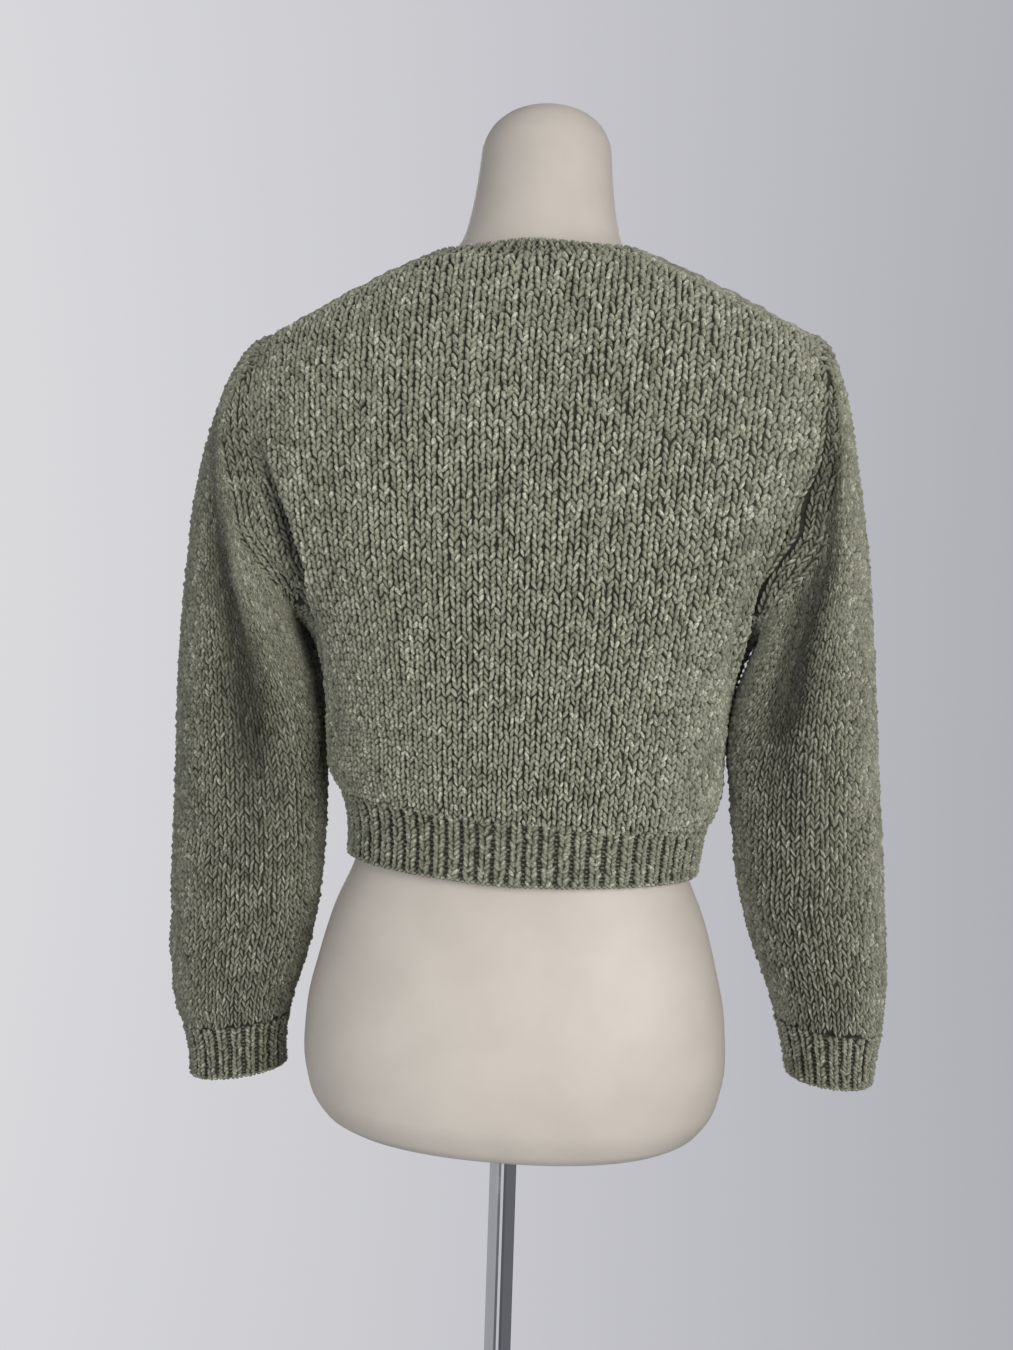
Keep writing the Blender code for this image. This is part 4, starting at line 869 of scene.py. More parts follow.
def new_material(name):
    """A new material, its node tree, its shader and its object coordinates."""
    material = bpy.data.materials.new(name)
    material.use_nodes = True
    tree = material.node_tree
    coordinates = add_node(tree, "ShaderNodeTexCoord").outputs["Object"]
    return material, tree, tree.nodes["Principled BSDF"], coordinates


def noise(tree, coordinates, scale, detail=2.0, roughness=0.5):
    """The grey of a noise texture."""
    inputs = {"Vector": coordinates, "Scale": scale, "Detail": detail, "Roughness": roughness}
    return add_node(tree, "ShaderNodeTexNoise", inputs).outputs["Fac"]


def ramp(tree, source, stops):
    """The colour of a ramp with stops of (position, colour)."""
    node = add_node(tree, "ShaderNodeValToRGB", {"Fac": source})
    elements = node.color_ramp.elements
    while len(elements) < len(stops):
        elements.new(0.5)
    for element, (position, colour) in zip(elements, stops):
        element.position = position
        element.color = (*colour, 1.0)
    return node.outputs["Color"]


def ranged(tree, source, inputs, **settings):
    """A grey brought from one range to another."""
    return add_node(tree, "ShaderNodeMapRange", {"Value": source, **inputs}, **settings).outputs["Result"]


def multiply(tree, a, b):
    """The product of two colours."""
    return add_node(tree, "ShaderNodeMix", {"Factor": 1.0, "A": a, "B": b},
                    data_type="RGBA", blend_type="MULTIPLY").outputs["Result"]


def roughen(tree, shader, height, strength, distance):
    """A bump on a shader's surface from a grey height."""
    bump = add_node(tree, "ShaderNodeBump", {"Height": height, "Strength": strength, "Distance": distance})
    tree.links.new(bump.outputs["Normal"], shader.inputs["Normal"])


def chenille(name, dark, middle, light):
    """Marled chenille yarn: each leg has its own tone, with flecks and fine pile; the crest value paints
    shade on its edges, tips and creases and a highlight along its top.
    """
    material, tree, shader, coordinates = new_material(name)
    tone, crest = (add_node(tree, "ShaderNodeAttribute", attribute_name=label).outputs["Fac"]
                   for label in ("tone", "crest"))
    flecks = noise(tree, coordinates, 700.0, 3.0, 0.7)
    blend = add_node(tree, "ShaderNodeMix", {"Factor": 0.24, "A": flecks, "B": tone})
    marl = ramp(tree, blend.outputs["Result"],
                ((0.34, dark), (0.46, middle), (0.54, middle), (0.68, light)))
    uneven = ramp(tree, noise(tree, coordinates, 30.0),
                  ((0.3, (0.88, 0.88, 0.87)), (0.7, (1.06, 1.06, 1.07))))
    # Painted shade and painted highlight: darker toward each yarn's edges and tips and deep in creases,
    # brighter than the yarn's colour along its crest
    edges = ramp(tree, crest,
                 ((0.0, (0.13, 0.13, 0.12)), (0.45, (0.68, 0.68, 0.67)), (1.0, (1.22, 1.22, 1.22))))
    roughen(tree, shader, noise(tree, coordinates, 1300.0, 2.0, 0.7), 0.8, 0.0008)
    feed(tree, shader, {
        "Base Color": multiply(tree, multiply(tree, marl, uneven), edges), "Roughness": 0.92,
        "Sheen Weight": 0.25, "Sheen Roughness": 0.45, "Sheen Tint": (0.82, 0.83, 0.76, 1.0),
        "Specular IOR Level": 0.2})
    return material


def matte(name, low, high, scale, roughness, bump_strength):
    """A matte surface with faint mottling and a fine bump."""
    material, tree, shader, coordinates = new_material(name)
    roughen(tree, shader, noise(tree, coordinates, 900.0), bump_strength, 0.0003)
    mottle = ramp(tree, noise(tree, coordinates, scale, 3.0), ((0.35, low), (0.65, high)))
    feed(tree, shader, {"Base Color": mottle, "Roughness": roughness})
    return material


def chromed(name):
    """Polished chrome with faint polishing marks."""
    material, tree, shader, coordinates = new_material(name)
    polish = ranged(tree, noise(tree, coordinates, 60.0, 4.0), {"To Min": 0.05, "To Max": 0.16})
    feed(tree, shader, {"Roughness": polish, "Base Color": (0.72, 0.73, 0.75, 1.0), "Metallic": 1.0})
    return material


KNIT = chenille("sage_chenille", (0.088, 0.091, 0.064), (0.216, 0.219, 0.165), (0.48, 0.49, 0.40))
# The shell under the stitches is near black, far darker than the yarn: painted shade in the gaps between the
# yarns
PAINTED_SHADE_GROUND = matte("sage_knit_ground", (0.016, 0.017, 0.012), (0.028, 0.029, 0.021), 300.0, 0.95, 0.4)
CREAM = matte("cream_form", (0.450, 0.414, 0.370), (0.478, 0.441, 0.395), 26.0, 0.55, 0.25)
CHROME = chromed("chrome")
BUTTON = matte("sage_button", (0.17, 0.18, 0.125), (0.24, 0.25, 0.18), 120.0, 0.32, 0.1)


# ---------------------------------------------------------------- surfaces as grids
BODY = surface_grid(creased_cloth, np.arange(-182.0, 182.5, 1.0), np.arange(0.186, 0.652, 0.0025))


def lapped_grid(grid):
    """The body's cloth with the wearer's right front risen over the under band."""
    lift = lap_lift(grid.points[..., 0] - FORM_SHIFT[0])
    lift = np.where(grid.across < 0, lift, 0.0)
    return Grid(grid.across, grid.along, grid.points + grid.normals * lift[..., None])


def level_normals(grid):
    """Bring the normals of the ribbed hem's levels to the horizontal."""
    low = grid.along <= RIB_TOP
    grid.normals[low, :, 2] = 0.0
    grid.normals = unit(grid.normals)


LAPPED = lapped_grid(BODY)
level_normals(BODY)
level_normals(LAPPED)


def sleeve_grid(side):
    """A sleeve's cloth over (degrees round, ring), with outward normals."""
    def surface(turn, ring):
        return sleeve_point(side, ring, turn)
    turns, rings = np.arange(-184.0, 184.5, 2.0), np.linspace(0.0, CUFF_END, 217)
    return surface_grid(surface, turns, rings, -side)


SLEEVES = {side: sleeve_grid(side) for side in (LEFT, RIGHT)}


# ---------------------------------------------------------------- the body's panels
# Angle and height of the shoulder seam's ends, at the armhole and at the neckline.
SEAM_LOW = [float(v) for v in armhole_place(np.array(SHOULDER_SEAM_END))]
SEAM_HIGH = (SHOULDER_SEAM_NECK, float(NECKLINE.at(np.array(SHOULDER_SEAM_NECK))[0]))
SIDE_ROWS = 26                 # rows of a panel's shell below the armhole
BACK_ARMHOLE_ROWS = 34         # along the armhole
FRONT_ARMHOLE_ROWS = 40
SHOULDER_ROWS = 12             # and along the shoulder seam
OVER_TOP_ROW = SIDE_ROWS + 34  # above this row a front's rows climb over the top of the sleeve


def border(sign, armhole_rows):
    """Places up the left border of the back (sign 1) or of a front (-1), densely spaced."""
    places = [(0.0, mix(RIB_TOP, ARMHOLE_BOTTOM, i / SIDE_ROWS)) for i in range(SIDE_ROWS)]
    for i in range(armhole_rows):
        turn = mix(180.0 * sign, SHOULDER_SEAM_END, i / armhole_rows)
        places.append([float(v) for v in armhole_place(np.array(turn))])
    for i in range(SHOULDER_ROWS + 1):
        places.append([mix(low, high, i / SHOULDER_ROWS) for low, high in zip(SEAM_LOW, SEAM_HIGH)])
    return np.array(places)


def neckline(angle):
    """Height of the neckline at an angle on either side."""
    return NECKLINE.at(folded(angle))[0]


def back_shell():
    """The back panel's shell, over a grid between its four borders."""
    left = border(1, BACK_ARMHOLE_ROWS)
    right = np.stack((180 - left[:, 0], left[:, 1]), -1)
    shares = np.linspace(0, 1, 81)[None, :]
    t = np.linspace(0, 1, len(left))[:, None]
    angles = mix(left[:, :1], right[:, :1], shares)
    bottom = np.full(shares.shape, left[0, 1])
    top_angles = mix(left[-1, 0], right[-1, 0], shares)
    top = neckline(top_angles)
    heights = mix(left[:, 1:], right[:, 1:], shares) + mix(bottom, top, t) - mix(left[0, 1], left[-1, 1], t)
    points, normals = BODY.at(angles, heights)
    return shell("back_panel_ground", points, normals, flip=True)


def angle_at_x(grid, x, height):
    """Angles on the front where the cloth reaches an x from the form's middle line."""
    x, height = np.broadcast_arrays(np.asarray(x, float), np.asarray(height, float))
    edge = np.where(x >= 0, -20.0, -160.0)
    near = np.full(x.shape, -90.0)
    for _ in range(26):
        middle = (near + edge) / 2
        reached = np.abs(grid.at(middle, height)[0][..., 0] - FORM_SHIFT[0]) < np.abs(x)
        near = np.where(reached, middle, near)
        edge = np.where(reached, edge, middle)
    return (near + edge) / 2


def front_shell(side, grid, name):
    """A front's shell; its rows climb over the top of the sleeve as they leave the armhole."""
    left = border(-1, FRONT_ARMHOLE_ROWS)
    low = left[0, 1]
    levels = (left[:, 1] - low) / (neckline(left[:, 0]) - low)
    row = np.arange(len(left))
    climb = mix(levels[OVER_TOP_ROW], 1.0, (row - OVER_TOP_ROW) / (row[-1] - OVER_TOP_ROW))
    targets = np.where(row <= OVER_TOP_ROW, levels, climb)
    edge_angle = np.full(len(left), -85.0)
    for _ in range(4):
        edge_height = mix(low, neckline(edge_angle), targets)
        edge_angle = angle_at_x(BODY, BAND_HALF_WIDTH - 0.002, edge_height)
    shares = np.linspace(0, 1, 41)[None, :]
    angles = mix(left[:, :1], edge_angle[:, None], shares)
    climbed = mix(levels[:, None], targets[:, None], smooth_step(shares / 0.18))
    heights = mix(low, neckline(angles), climbed)
    if side == RIGHT:
        angles = wrapped(-180.0 - angles)
    points, normals = grid.at(angles, heights)
    return shell(name, points, normals, flip=side == RIGHT)


def on_body(angle, height, back):
    """Whether places lie on the back, or on a front, or a little way over its seams."""
    side_angle = folded(angle)
    margin = -STITCH_MARGIN
    spread = margin / DEGREE_LENGTH
    share = np.clip((height - ARMHOLE_BOTTOM) / (ARMHOLE_TOP - ARMHOLE_BOTTOM), 0.0, 1.0)
    s = np.sqrt(np.clip(1 - (2 * share - 1) ** 2, 0.0, 1.0))
    inside = (height > ARMHOLE_BOTTOM - margin) & (height < ARMHOLE_TOP + margin)
    reach_back = np.where(inside, ARMHOLE_BACK * s ** ARMHOLE_FULLNESS + spread, -999.0)
    reach_front = np.where(inside, ARMHOLE_FRONT * s ** ARMHOLE_FULLNESS + spread, -999.0)
    (low_angle, low), (high_angle, high) = SEAM_LOW, SEAM_HIGH
    line = low_angle + (high_angle - low_angle) * (height - low) / (high - low)
    line = np.where(height < low, 0.0, line)
    below_neck = height < neckline(angle) + NECK_MARGIN
    if back:
        return below_neck & (side_angle > reach_back) & (side_angle > line + spread * 0.7)
    clear = (side_angle < -reach_front) | (inside & (side_angle > reach_back)) | ~inside
    return below_neck & clear & (side_angle < line - spread * 0.7)


def body_legs(grid, lengths, half, back, start):
    """The legs of all stitches of a panel, in columns at even lengths across it.

    half is the reach in columns to each side; start is the length at which the first column begins.
    """
    heights = count_up(BODY_COURSES, FIRST_COURSE, LAST_COURSE)
    keys, widths = zip(*BODY_WALES)
    columns = np.arange(-half, half + 1) if back else np.arange(0, half) + 0.5
    column, course, sides = leg_places(columns, len(heights) - 1)
    wales, ups = leg_paths(column, course, sides)
    stagger = rng.normal(0, BODY_STAGGER, 2 * half + 1)[np.round(column - columns[0]).astype(int)]
    ups = ups + stagger[:, None]
    wales = strayed(wales, ups, column, BODY_WAVES)
    levels = np.interp(ups, np.arange(len(heights)), heights)
    levels = np.where(ups < 0, heights[0] + ups * 0.004, levels)
    wale = np.interp(levels, keys, widths)
    angles = lengths.at(start + wales * wale, levels)
    keep = on_body(angles[:, 2], levels[:, 2], back)
    angles, levels, wale = angles[keep], levels[keep], wale[keep]
    angles = wrapped(angles)
    points, normals = grid.at(angles, levels)
    half_widths, rises = leg_sizes(len(points), wale[:, 2])
    angle, level = angles[:, 2], levels[:, 2]
    # Painted shade deep in the trough and the creases, carried into the yarns' colour
    depth = trough_depth(folded(angle), level) - body_creases(angle, level)
    return points, normals, half_widths, rises + SHELL_OUT, shade(depth, BODY_SHADE_DEPTH)


def seam_chains(side):
    """Chains of stitches up the side seam and along the shoulder seam of a side of the body."""
    (low_angle, low), (high_angle, high) = SEAM_LOW, SEAM_HIGH
    chains = []
    for angles, levels in ((np.zeros(60), np.linspace(RIB_TOP, ARMHOLE_BOTTOM, 60)),
                           (np.linspace(low_angle, high_angle, 40), np.linspace(low, high, 40))):
        if side == RIGHT:
            angles = 180.0 - angles
        chains.append(chain(*BODY.at(angles, levels), *SEAM_CHAIN))
    return chains


BACK_LENGTHS = Lengths(BODY, 90.0, 181.0, -1.0, 0.34)
LEFT_LENGTHS = Lengths(BODY, -90.0, -181.0, 45.0, 0.36)


class Mirrored:
    """Lengths across the wearer's right front, as those of the left one mirrored."""

    def at(self, length, along):
        """The across value at a length on a level."""
        return -180.0 - LEFT_LENGTHS.at(length, along)


def make_body():
    """The back and fronts."""
    back = back_shell()
    parts = [body_legs(BODY, BACK_LENGTHS, 34, True, 0.0)]
    for side in (LEFT, RIGHT):
        parts.extend(seam_chains(side))
    stitches = yarns("back_panel_stitches", parts, 4)
    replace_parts(back, "back_panel")
    for side, grid, lengths, label in ((LEFT, BODY, LEFT_LENGTHS, "left"),
                                       (RIGHT, LAPPED, Mirrored(), "right")):
        front = front_shell(side, grid, "front_%s_ground" % label)
        legs = body_legs(grid, lengths, 36, False, BAND_HALF_WIDTH)
        stitches = yarns("front_%s_stitches" % label, [legs])
        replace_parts(front, "front_" + label)


# ---------------------------------------------------------------- sleeves
class SleeveMap:
    """Turns lengths round and up a sleeve into its own degrees and rings."""

    def __init__(self, side):
        grid = SLEEVES[side]
        turns, rings = grid.across, grid.along
        inside = rings <= CUFF_ROW + 1e-9
        self.turns, self.rings = turns, rings[inside]
        points = grid.points[inside]
        around = np.linalg.norm(np.diff(points, axis=1), axis=2)
        run = np.concatenate((np.zeros((len(points), 1)), np.cumsum(around, axis=1)), axis=1)
        top = int(np.argmin(np.abs(turns)))
        self.around = run - run[:, top:top + 1]
        down = np.linalg.norm(np.diff(points, axis=0), axis=2)
        fall = np.concatenate((np.zeros((1, points.shape[1])), np.cumsum(down, axis=0)), axis=0)
        self.up = fall[-1:] - fall
        first, last = int(np.argmin(np.abs(turns + 180))), int(np.argmin(np.abs(turns - 180)))
        self.perimeter = self.around[:, last] - self.around[:, first]
        self.lengths = np.linspace(-0.30, 0.30, 301)
        self.turn_table = np.stack([np.interp(self.lengths, row, turns) for row in self.around])
        self.heights = np.linspace(-0.01, 0.70, 400)
        self.ring_table = np.stack(
            [np.interp(self.heights, self.up[::-1, i], self.rings[::-1]) for i in range(len(turns))], 1)

    def width_scale(self, ring):
        """How far the columns are drawn together at a ring."""
        at_gather = np.interp(SLEEVE_GATHER_RING, self.rings, self.perimeter)
        return np.minimum(1.0, np.interp(ring, self.rings, self.perimeter) / at_gather)

    def at(self, wales, courses):
        """Degrees, rings and column width at wales from the top line and courses from the cuff."""
        height = courses * SLEEVE_COURSE
        turn = np.zeros(np.shape(wales))
        for _ in range(9):
            ring = read_table(self.ring_table, even_place(turn, self.turns), even_place(height, self.heights))
            width = SLEEVE_WALE * self.width_scale(ring)
            i, j = even_place(wales * width, self.lengths), even_place(ring, self.rings)
            turn = read_table(self.turn_table, i, j)
        return turn, ring, width


def seam_zone(turn):
    """The ring down to which the columns run along the armhole, in front of and behind the arm."""
    widening, narrowing = (smooth_step((turn - low) / (high - low))
                           for low, high in (SEAM_ZONE_START, SEAM_ZONE_END))
    return SEAM_ZONE_RING * widening * (1 - narrowing)


def sleeve_stitches(side, name):
    """The legs of all stitches of a sleeve, with the columns that run along its armhole."""
    mapping = SleeveMap(side)
    half = int(mapping.perimeter.max() / 2 / SLEEVE_WALE) + 2
    rows = int(mapping.up.max() / SLEEVE_COURSE) + 2
    column, course, sides = leg_places(np.arange(-half, half + 1), rows)
    wales, ups = leg_paths(column, course, sides)
    ups = ups + rng.normal(0, SLEEVE_STAGGER, 2 * half + 1)[(column + half).astype(int)][:, None]
    wales = strayed(wales, ups, column, SLEEVE_WAVES)
    turns, rings, width = mapping.at(wales, ups)
    limit = np.interp(rings[:, 2], mapping.rings, mapping.perimeter) / 2
    keep = (np.abs(wales[:, 2] * width[:, 2]) < limit - UNDERARM_MARGIN) & (rings[:, 2] > 0.01)
    keep &= rings[:, 2] > seam_zone(np.abs(turns[:, 2]))
    turns, rings, width = turns[keep], rings[keep], width[keep]
    points, normals = SLEEVES[side].at(turns, rings)
    half_widths, rises = leg_sizes(len(points), width[:, 2])
    # Painted shade deep in the sleeve's trough and creases, carried into the yarns' colour
    sunk = shade(-sleeve_fold(side, rings[:, 2], turns[:, 2]), SLEEVE_SHADE_DEPTH)
    parts = [(points, normals, half_widths, rises + SHELL_OUT, sunk)]
    for ring in ARMHOLE_CHAIN_RINGS:
        for sign in (1, -1):
            around = np.linspace(30.0, 160.0, 260)
            around = around[seam_zone(around) > ring + 0.1] * sign
            points, normals = SLEEVES[side].at(around, np.full(len(around), ring))
            *sewn, level = chain(points[::-1], normals[::-1], *ARMHOLE_CHAIN)
            middle = np.linspace(around[-1], around[0], len(level))
            sunk = shade(-sleeve_fold(side, np.full(len(level), ring), middle), SLEEVE_SHADE_DEPTH)
            parts.append((*sewn, sunk))
    return yarns(name, parts)


def sleeve_shell(side, name):
    """A sleeve's shell."""
    turns = np.linspace(-180, 180, 65)[:-1]
    rings = np.concatenate((np.linspace(0, 4, 17)[:-1], np.linspace(4, CUFF_ROW, 61)))
    a, b = np.meshgrid(turns, rings)
    points, normals = SLEEVES[side].at(a, b)
    return shell(name, points, normals, closed=True, flip=side == LEFT)


def make_sleeves():
    """Both sleeves."""
    for side, label in ((LEFT, "left"), (RIGHT, "right")):
        tube = sleeve_shell(side, "sleeve_%s_ground" % label)
        stitches = sleeve_stitches(side, "sleeve_%s_stitches" % label)
        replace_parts(tube, "sleeve_" + label)


# ---------------------------------------------------------------- ribbing
RIB_BASE = 0.0006              # the valleys between ribs, from the cloth's middle surface
RIB_SHELL_IN = -0.0032         # the inner face of hem and cuffs, from those valleys
NECKBAND_RELIEF = 0.0009
# A rib's height across its width, both as shares.
RIB_SHAPE = ((0.0, 0.0), (0.10, 0.25), (0.24, 0.9), (0.38, 1.0), (0.5, 1.0), (0.62, 1.0), (0.76, 0.9),
             (0.90, 0.25), (1.0, 0.0))


def rib_relief(position, height):
    """Relief of ribs over positions counted in ribs from the first valley."""
    keys, values = zip(*RIB_SHAPE)
    return np.interp(position % 1.0, keys, values) * height


class Strip:
    """A ribbed strip: a grid over (ribs, share of the strip's width) with relief."""

    def __init__(self, points, normals, ribs, relief, closed=False):
        self.ribs, self.closed, self.height = ribs, closed, relief
        across, along = np.linspace(0, ribs, points.shape[1]), np.linspace(0, 1, points.shape[0])
        self.grid = Grid(across, along, points, normals)

    def at(self, rib, share):
        """Points on the relief and the plain normals."""
        if self.closed:
            rib = rib % self.ribs
        points, normals = self.grid.at(rib, share)
        return points + normals * rib_relief(rib, self.height)[..., None], normals

    def shell(self, name, rows, flip=False, inward=RIB_SHELL_IN):
        """The strip's shell."""
        count = self.ribs * RIB_POINTS + (0 if self.closed else 1)
        a, b = np.meshgrid(np.arange(count) / RIB_POINTS, np.linspace(0, 1, rows))
        points, normals = self.grid.at(a, b)
        return shell(name, points, normals, self.closed, flip, rib_relief(a, self.height), inward)

    def stitches(self, name, courses, rib_width, edge=True, cast_on=True):
        """V stitches up the crest of each rib, purl bumps in the valleys and bobbles on the edges."""
        column, course, sides = leg_places(np.arange(self.ribs) + 0.5, courses)
        wales, ups = leg_paths(np.zeros(len(column)), course, sides)
        points, normals = self.at(column[:, None] + wales * RIB_LEG_SPREAD, (ups + RIB_LEG_START) / courses)
        widths, rises = leg_sizes(len(points), rib_width * RIB_LEG_WIDTH, RIB_LEG_RISE)
        parts = [(points, normals, widths, rises, np.zeros(len(points)))]
        valleys = np.arange(0 if self.closed else 1, self.ribs)
        column, course = (v.reshape(-1, 1).astype(float)
                          for v in np.meshgrid(valleys, np.arange(courses)))
        position = column + np.linspace(-PURL_REACH, PURL_REACH, 5) + rng.normal(0, 0.02, column.shape)
        share = (course + RIB_LEG_START + PURL_ARCH + rng.normal(0, 0.05, column.shape)) / courses
        plain, normals = self.grid.at(position % self.ribs if self.closed else position, share)
        parts.append(bumps(plain, normals, *PURL, PURL_SHADE))
        for place, wanted in zip(BOBBLE_PLACES, (cast_on, edge)):
            if wanted:
                column = (np.arange(self.ribs * 3) / 3 + 1 / 6)[:, None]
                position = column + np.linspace(-BOBBLE_REACH, BOBBLE_REACH, 5)
                share = np.full(position.shape, place) + rng.normal(0, 0.003, column.shape)
                parts.append(bumps(*self.at(position, share), *BOBBLE, 0.0))
        return yarns(name, parts)


def hem_strip(grid, start, end, ribs):
    """The strip of the hem between two angles, the ribs at even lengths round its middle."""
    middle = (HEM_HEIGHT + RIB_TOP) / 2
    fine = np.linspace(start, end, 200)
    points = grid.at(fine, np.full(200, middle))[0]
    run = run_along(points)
    angles = np.interp(np.linspace(0, run[-1], ribs * RIB_POINTS + 1), run, fine)
    a, b = np.meshgrid(angles, np.linspace(HEM_HEIGHT, RIB_TOP, 12))
    points, normals = grid.at(a, b)
    return Strip(points + normals * RIB_BASE, normals, ribs, RIB_HEIGHT)


def make_hem():
    """The ribbed hem, in a back piece and two front pieces."""
    edge = float(angle_at_x(BODY, BAND_HALF_WIDTH, (HEM_HEIGHT + RIB_TOP) / 2))
    for name, grid, start, end, ribs, width in (
            ("hem_back", BODY, 0.0, 180.0, HEM_RIBS_BACK, 0.36),
            ("hem_front_left", BODY, edge, 0.0, HEM_RIBS_FRONT, 0.165),
            ("hem_front_right", LAPPED, -180.0, -180.0 - edge, HEM_RIBS_FRONT, 0.165)):
        strip = hem_strip(grid, start, end, ribs)
        shade_ground = strip.shell(name + "_ground", 12)
        stitches = strip.stitches(name + "_stitches", RIB_COURSES, HEM_WALE, edge=False)
        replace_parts(shade_ground, name)


def make_cuffs():
    """The ribbed cuffs."""
    for side, label in ((LEFT, "left"), (RIGHT, "right")):
        turns = 180.0 - np.linspace(0, 360.0, CUFF_RIBS * RIB_POINTS + 1) * side
        a, b = np.meshgrid(turns, np.linspace(CUFF_END, CUFF_ROW, 12))
        points, normals = SLEEVES[side].at(wrapped(a), b)
        strip = Strip(points + normals * RIB_BASE, normals, CUFF_RIBS, RIB_HEIGHT, closed=True)
        shade_ground = strip.shell("cuff_%s_ground" % label, 12, flip=True)
        stitches = strip.stitches("cuff_%s_stitches" % label, RIB_COURSES, CUFF_WALE, edge=False)
        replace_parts(shade_ground, "cuff_" + label)


def neckband_up(angle, height):
    """The heights at which the neckband's upper edge lies above places on the neckline."""
    step = 0.002
    climb = np.linalg.norm(cloth_point(angle, height + step) - cloth_point(angle, height), axis=-1) / step
    return height + NECKBAND_WIDTH / climb


def on_lap(angle, height, lapped):
    """Points and normals on the body's cloth, and on the risen front where lapped says so."""
    return [np.where(lapped[:, None], risen, plain)
            for risen, plain in zip(LAPPED.at(angle, height), BODY.at(angle, height))]


def make_neckband():
    """The ribbed neckband, from one front band round the back to the other."""
    fine = np.linspace(-90.0, 270.0, 721)
    edge = float(angle_at_x(BODY, BAND_HALF_WIDTH, 0.5755))
    fine = fine[(fine >= edge) & (fine <= 180 - edge)]
    angles = np.where(fine > 180, fine - 360, fine)
    low = neckline(angles)
    high = neckband_up(angles, low)
    run = run_along(on_lap(angles, (low + high) / 2, fine > 180)[0])
    ribs = int(round(run[-1] / NECKBAND_PITCH))
    even = np.linspace(0, run[-1], ribs * RIB_POINTS + 1)
    places = np.interp(even, run, fine)
    angle = np.where(places > 180, places - 360, places)
    low, high = np.interp(even, run, low), np.interp(even, run, high)
    rows = [on_lap(angle, mix(low, high, share), places > 180) for share in np.linspace(0, 1, 9)]
    points, normals = (np.stack(values) for values in zip(*rows))
    strip = Strip(points, normals, ribs, NECKBAND_RELIEF)
    shade_ground = strip.shell("neckband_ground", 7, inward=SHELL_IN)
    stitches = strip.stitches("neckband_stitches", 4, NECKBAND_PITCH * 1.08, cast_on=False)
    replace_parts(shade_ground, "neckband")


def make_front_bands():
    """The plain under band and the ribbed band with the buttons."""
    middle = np.array(-90.0)
    low, high = HEM_HEIGHT, float(neckband_up(middle, neckline(middle)))
    lift = float(lap_lift(np.array(0.0)))
    courses = int((high - low) / BAND_COURSE)
    for name, x_low, rise, relief, rests in (
            ("button_band", -UNDER_BAND_EDGE, 0.0, 0.0, "form_torso"),
            ("buttonhole_band", -BAND_HALF_WIDTH, lift, BAND_RIB_HEIGHT, "button_band_ground")):
        x, height = np.meshgrid(np.linspace(x_low, BAND_HALF_WIDTH, BAND_RIBS * RIB_POINTS + 1),
                                np.linspace(low, high, 90))
        points, normals = BODY.at(angle_at_x(BODY, x, height), height)
        strip = Strip(points + normals * (rise + BAND_THICKNESS / 2), normals, BAND_RIBS, relief)
        shade_ground = strip.shell(name + "_ground", 90, inward=-BAND_THICKNESS)
        with_pieces = [strip.stitches(name + "_stitches", courses, BAND_WALE)] if relief else []
        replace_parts(shade_ground, name)


# ---------------------------------------------------------------- form, stand and buttons
FORM_SIDES = 96                # points round the fine form


def make_form():
    """The limbless form as a finer loft of the same ovals."""
    keys = [row[0] for row in FIGURE_ROWS]
    heights = np.unique(np.concatenate([np.linspace(a, b, 5) for a, b in zip(keys, keys[1:])]))
    i = np.arange(FORM_SIDES)
    angles = i * 360.0 / FORM_SIDES
    points = form_point(*np.meshgrid(np.where(angles > 180, angles - 360, angles), heights))
    count = points[..., 0].size
    quads = grid_quads(len(heights), FORM_SIDES, 0, True)
    vertices = np.concatenate((points.reshape(-1, 3), points[:1].mean(1), points[-1:].mean(1)))
    after = (i + 1) % FORM_SIDES
    top = count - FORM_SIDES
    fans = np.concatenate((np.stack((after, i, np.full(FORM_SIDES, count)), -1),
                           np.stack((top + i, top + after, np.full(FORM_SIDES, count + 1)), -1)))
    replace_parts(new_piece("form_torso_fine", vertices, quads, fans, CREAM), "form_torso")


def show_nodes():
    """Better materials on the solids that stay."""
    for name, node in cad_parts.items():
        button = name.startswith("button_") and name != "button_band"
        if button or name in ("pole", "base"):
            node.data.materials.clear()
            node.data.materials.append(BUTTON if button else CHROME)


# ---------------------------------------------------------------- world, lights and camera
VIEW_DISTANCE = 0.94
VIEW_HEIGHT = 0.335            # above the form's underside
VIEW_ASIDE = -0.015
VIEW_YAW = 7.5                 # degrees
VIEW_ROLL = 1.85
SENSOR = 36.0                  # millimetres
FLOOR_RADIUS = 0.27
FLOOR_SIDES = 96


def make_camera():
    """The photograph's view: from behind, a little towards the wearer's right, rolled slightly."""
    yaw, roll = np.radians(VIEW_YAW), np.radians(VIEW_ROLL)
    right = Vector((-np.cos(yaw), -np.sin(yaw), 0))
    ahead = Vector((np.sin(yaw), -np.cos(yaw), 0))
    up = Vector((0, 0, 1))
    centre = Vector((*FORM_SHIFT, FORM_LIFT + VIEW_HEIGHT)) - ahead * VIEW_DISTANCE + right * VIEW_ASIDE
    turned_right = right * np.cos(roll) + up * np.sin(roll)
    turned_up = up * np.cos(roll) - right * np.sin(roll)
    matrix = Matrix((turned_right, turned_up, -ahead)).transposed().to_4x4()
    matrix.translation = centre
    data = bpy.data.cameras.new("camera")
    data.sensor_fit = "VERTICAL"
    data.sensor_height = SENSOR
    data.lens = SENSOR * 1250 / 1350
    camera = link_object("camera", data)
    camera.matrix_world = matrix
    bpy.context.scene.camera = camera


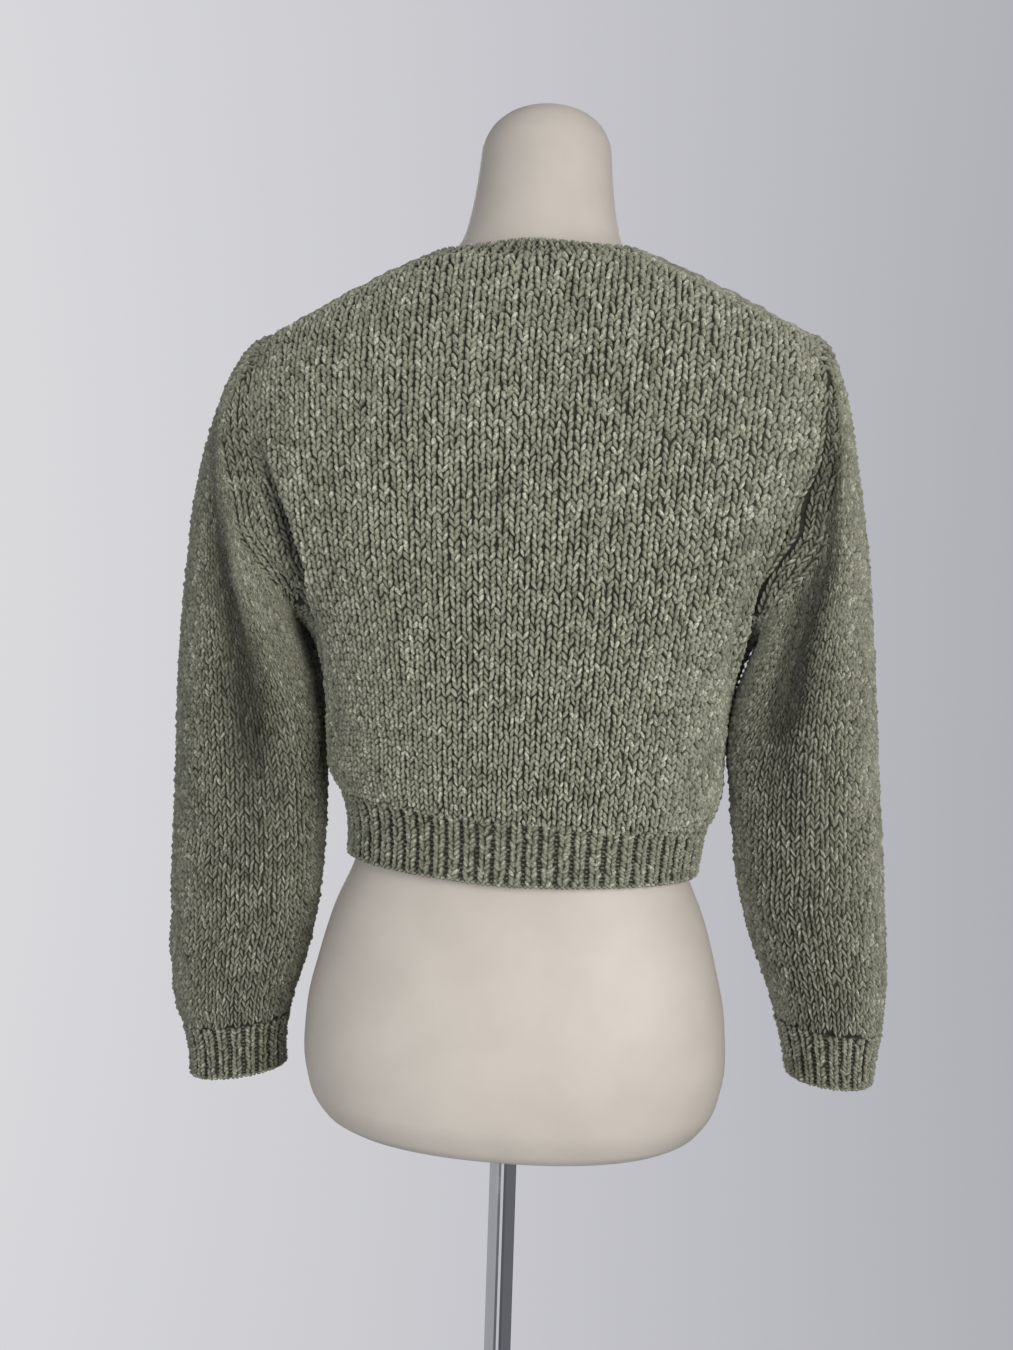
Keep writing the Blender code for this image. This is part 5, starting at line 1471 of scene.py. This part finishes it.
def make_world():
    """A pale backdrop all round, brighter towards one side, with dimmer light coming from it.

    Polished metal mirrors pale and dark panels standing round it.
    """
    world = bpy.data.worlds.new("backdrop")
    bpy.context.scene.world = world
    world.use_nodes = True
    tree = world.node_tree
    around = add_node(tree, "ShaderNodeTexCoord").outputs["Generated"]
    split = add_node(tree, "ShaderNodeSeparateXYZ", {"Vector": around})
    place = ranged(tree, split.outputs["X"], {"From Min": -0.5, "From Max": 0.5})
    level = ranged(tree, split.outputs["Z"], {"From Min": -0.6, "From Max": 0.9})
    shown = tree.nodes["Background"]
    feed(tree, shown, {"Color": ramp(tree, place, (
        (0.0, (0.36, 0.37, 0.41)), (0.25, (0.43, 0.43, 0.47)), (0.60, (0.56, 0.56, 0.60)),
        (1.0, (0.70, 0.70, 0.72))))})
    given = add_node(tree, "ShaderNodeBackground", {"Color": ramp(tree, level, (
        (0.0, (0.19, 0.19, 0.20)), (0.4, (0.28, 0.28, 0.295)), (1.0, (0.36, 0.36, 0.37))))})
    mirrored = add_node(tree, "ShaderNodeBackground", {"Color": ramp(tree, place, (
        (0.0, (0.16, 0.16, 0.18)), (0.26, (0.03, 0.03, 0.04)), (0.40, (0.62, 0.63, 0.66)),
        (0.56, (0.95, 0.95, 0.97)), (0.68, (0.03, 0.03, 0.04)), (1.0, (0.42, 0.42, 0.45))))})
    rays = add_node(tree, "ShaderNodeLightPath").outputs
    gloss = add_node(tree, "ShaderNodeMixShader", {
        "Fac": rays["Is Glossy Ray"], 1: given.outputs["Background"], 2: mirrored.outputs["Background"]})
    choice = add_node(tree, "ShaderNodeMixShader", {
        "Fac": rays["Is Camera Ray"], 1: gloss.outputs["Shader"], 2: shown.outputs["Background"]})
    feed(tree, tree.nodes["World Output"], {"Surface": choice.outputs["Shader"]})


def make_light(name, location, target, energy, size, colour=(1, 1, 1)):
    """A soft square light aimed at a point."""
    data = bpy.data.lights.new(name, "AREA")
    data.energy = energy
    data.size = size
    data.color = colour
    light = link_object(name, data)
    light.location = location
    light.rotation_euler = (Vector(target) - Vector(location)).to_track_quat("-Z", "Y").to_euler()


def make_floor():
    """A small round pale floor that fades out towards its rim."""
    material, tree, shader, coordinates = new_material("floor")
    reach = add_node(tree, "ShaderNodeVectorMath", {0: coordinates}, operation="LENGTH")
    fade = ranged(tree, reach.outputs["Value"],
                  {"From Min": 0.17, "From Max": FLOOR_RADIUS, "To Min": 1.0, "To Max": 0.0},
                  interpolation_type="SMOOTHSTEP")
    feed(tree, shader, {"Alpha": fade, "Base Color": (0.50, 0.50, 0.52, 1.0), "Roughness": 0.8})
    angles = np.arange(FLOOR_SIDES) * 2 * np.pi / FLOOR_SIDES
    x, y = FLOOR_RADIUS * np.cos(angles), FLOOR_RADIUS * np.sin(angles)
    mesh = bpy.data.meshes.new("floor")
    mesh.from_pydata(np.stack((x, y, np.full(FLOOR_SIDES, -0.0005)), -1).tolist(), [],
                     [list(range(FLOOR_SIDES))])
    floor = link_object("floor", mesh)
    floor.data.materials.append(material)


bpy.context.scene.view_settings.view_transform = "Standard"
make_camera()
make_world()
make_light("key", (-1.25, 1.5, 1.0), (0.0, 0.0, 0.60), 36.0, 1.1, (1.0, 0.985, 0.96))
make_light("fill", (0.7, 1.7, 0.25), (0.0, 0.0, 0.50), 14.0, 1.1)
make_light("front", (0.3, -1.9, 1.1), (0.0, 0.0, 0.6), 36.0, 1.6)
make_floor()
show_nodes()
make_form()
make_body()
make_hem()
make_sleeves()
make_cuffs()
make_neckband()
make_front_bands()
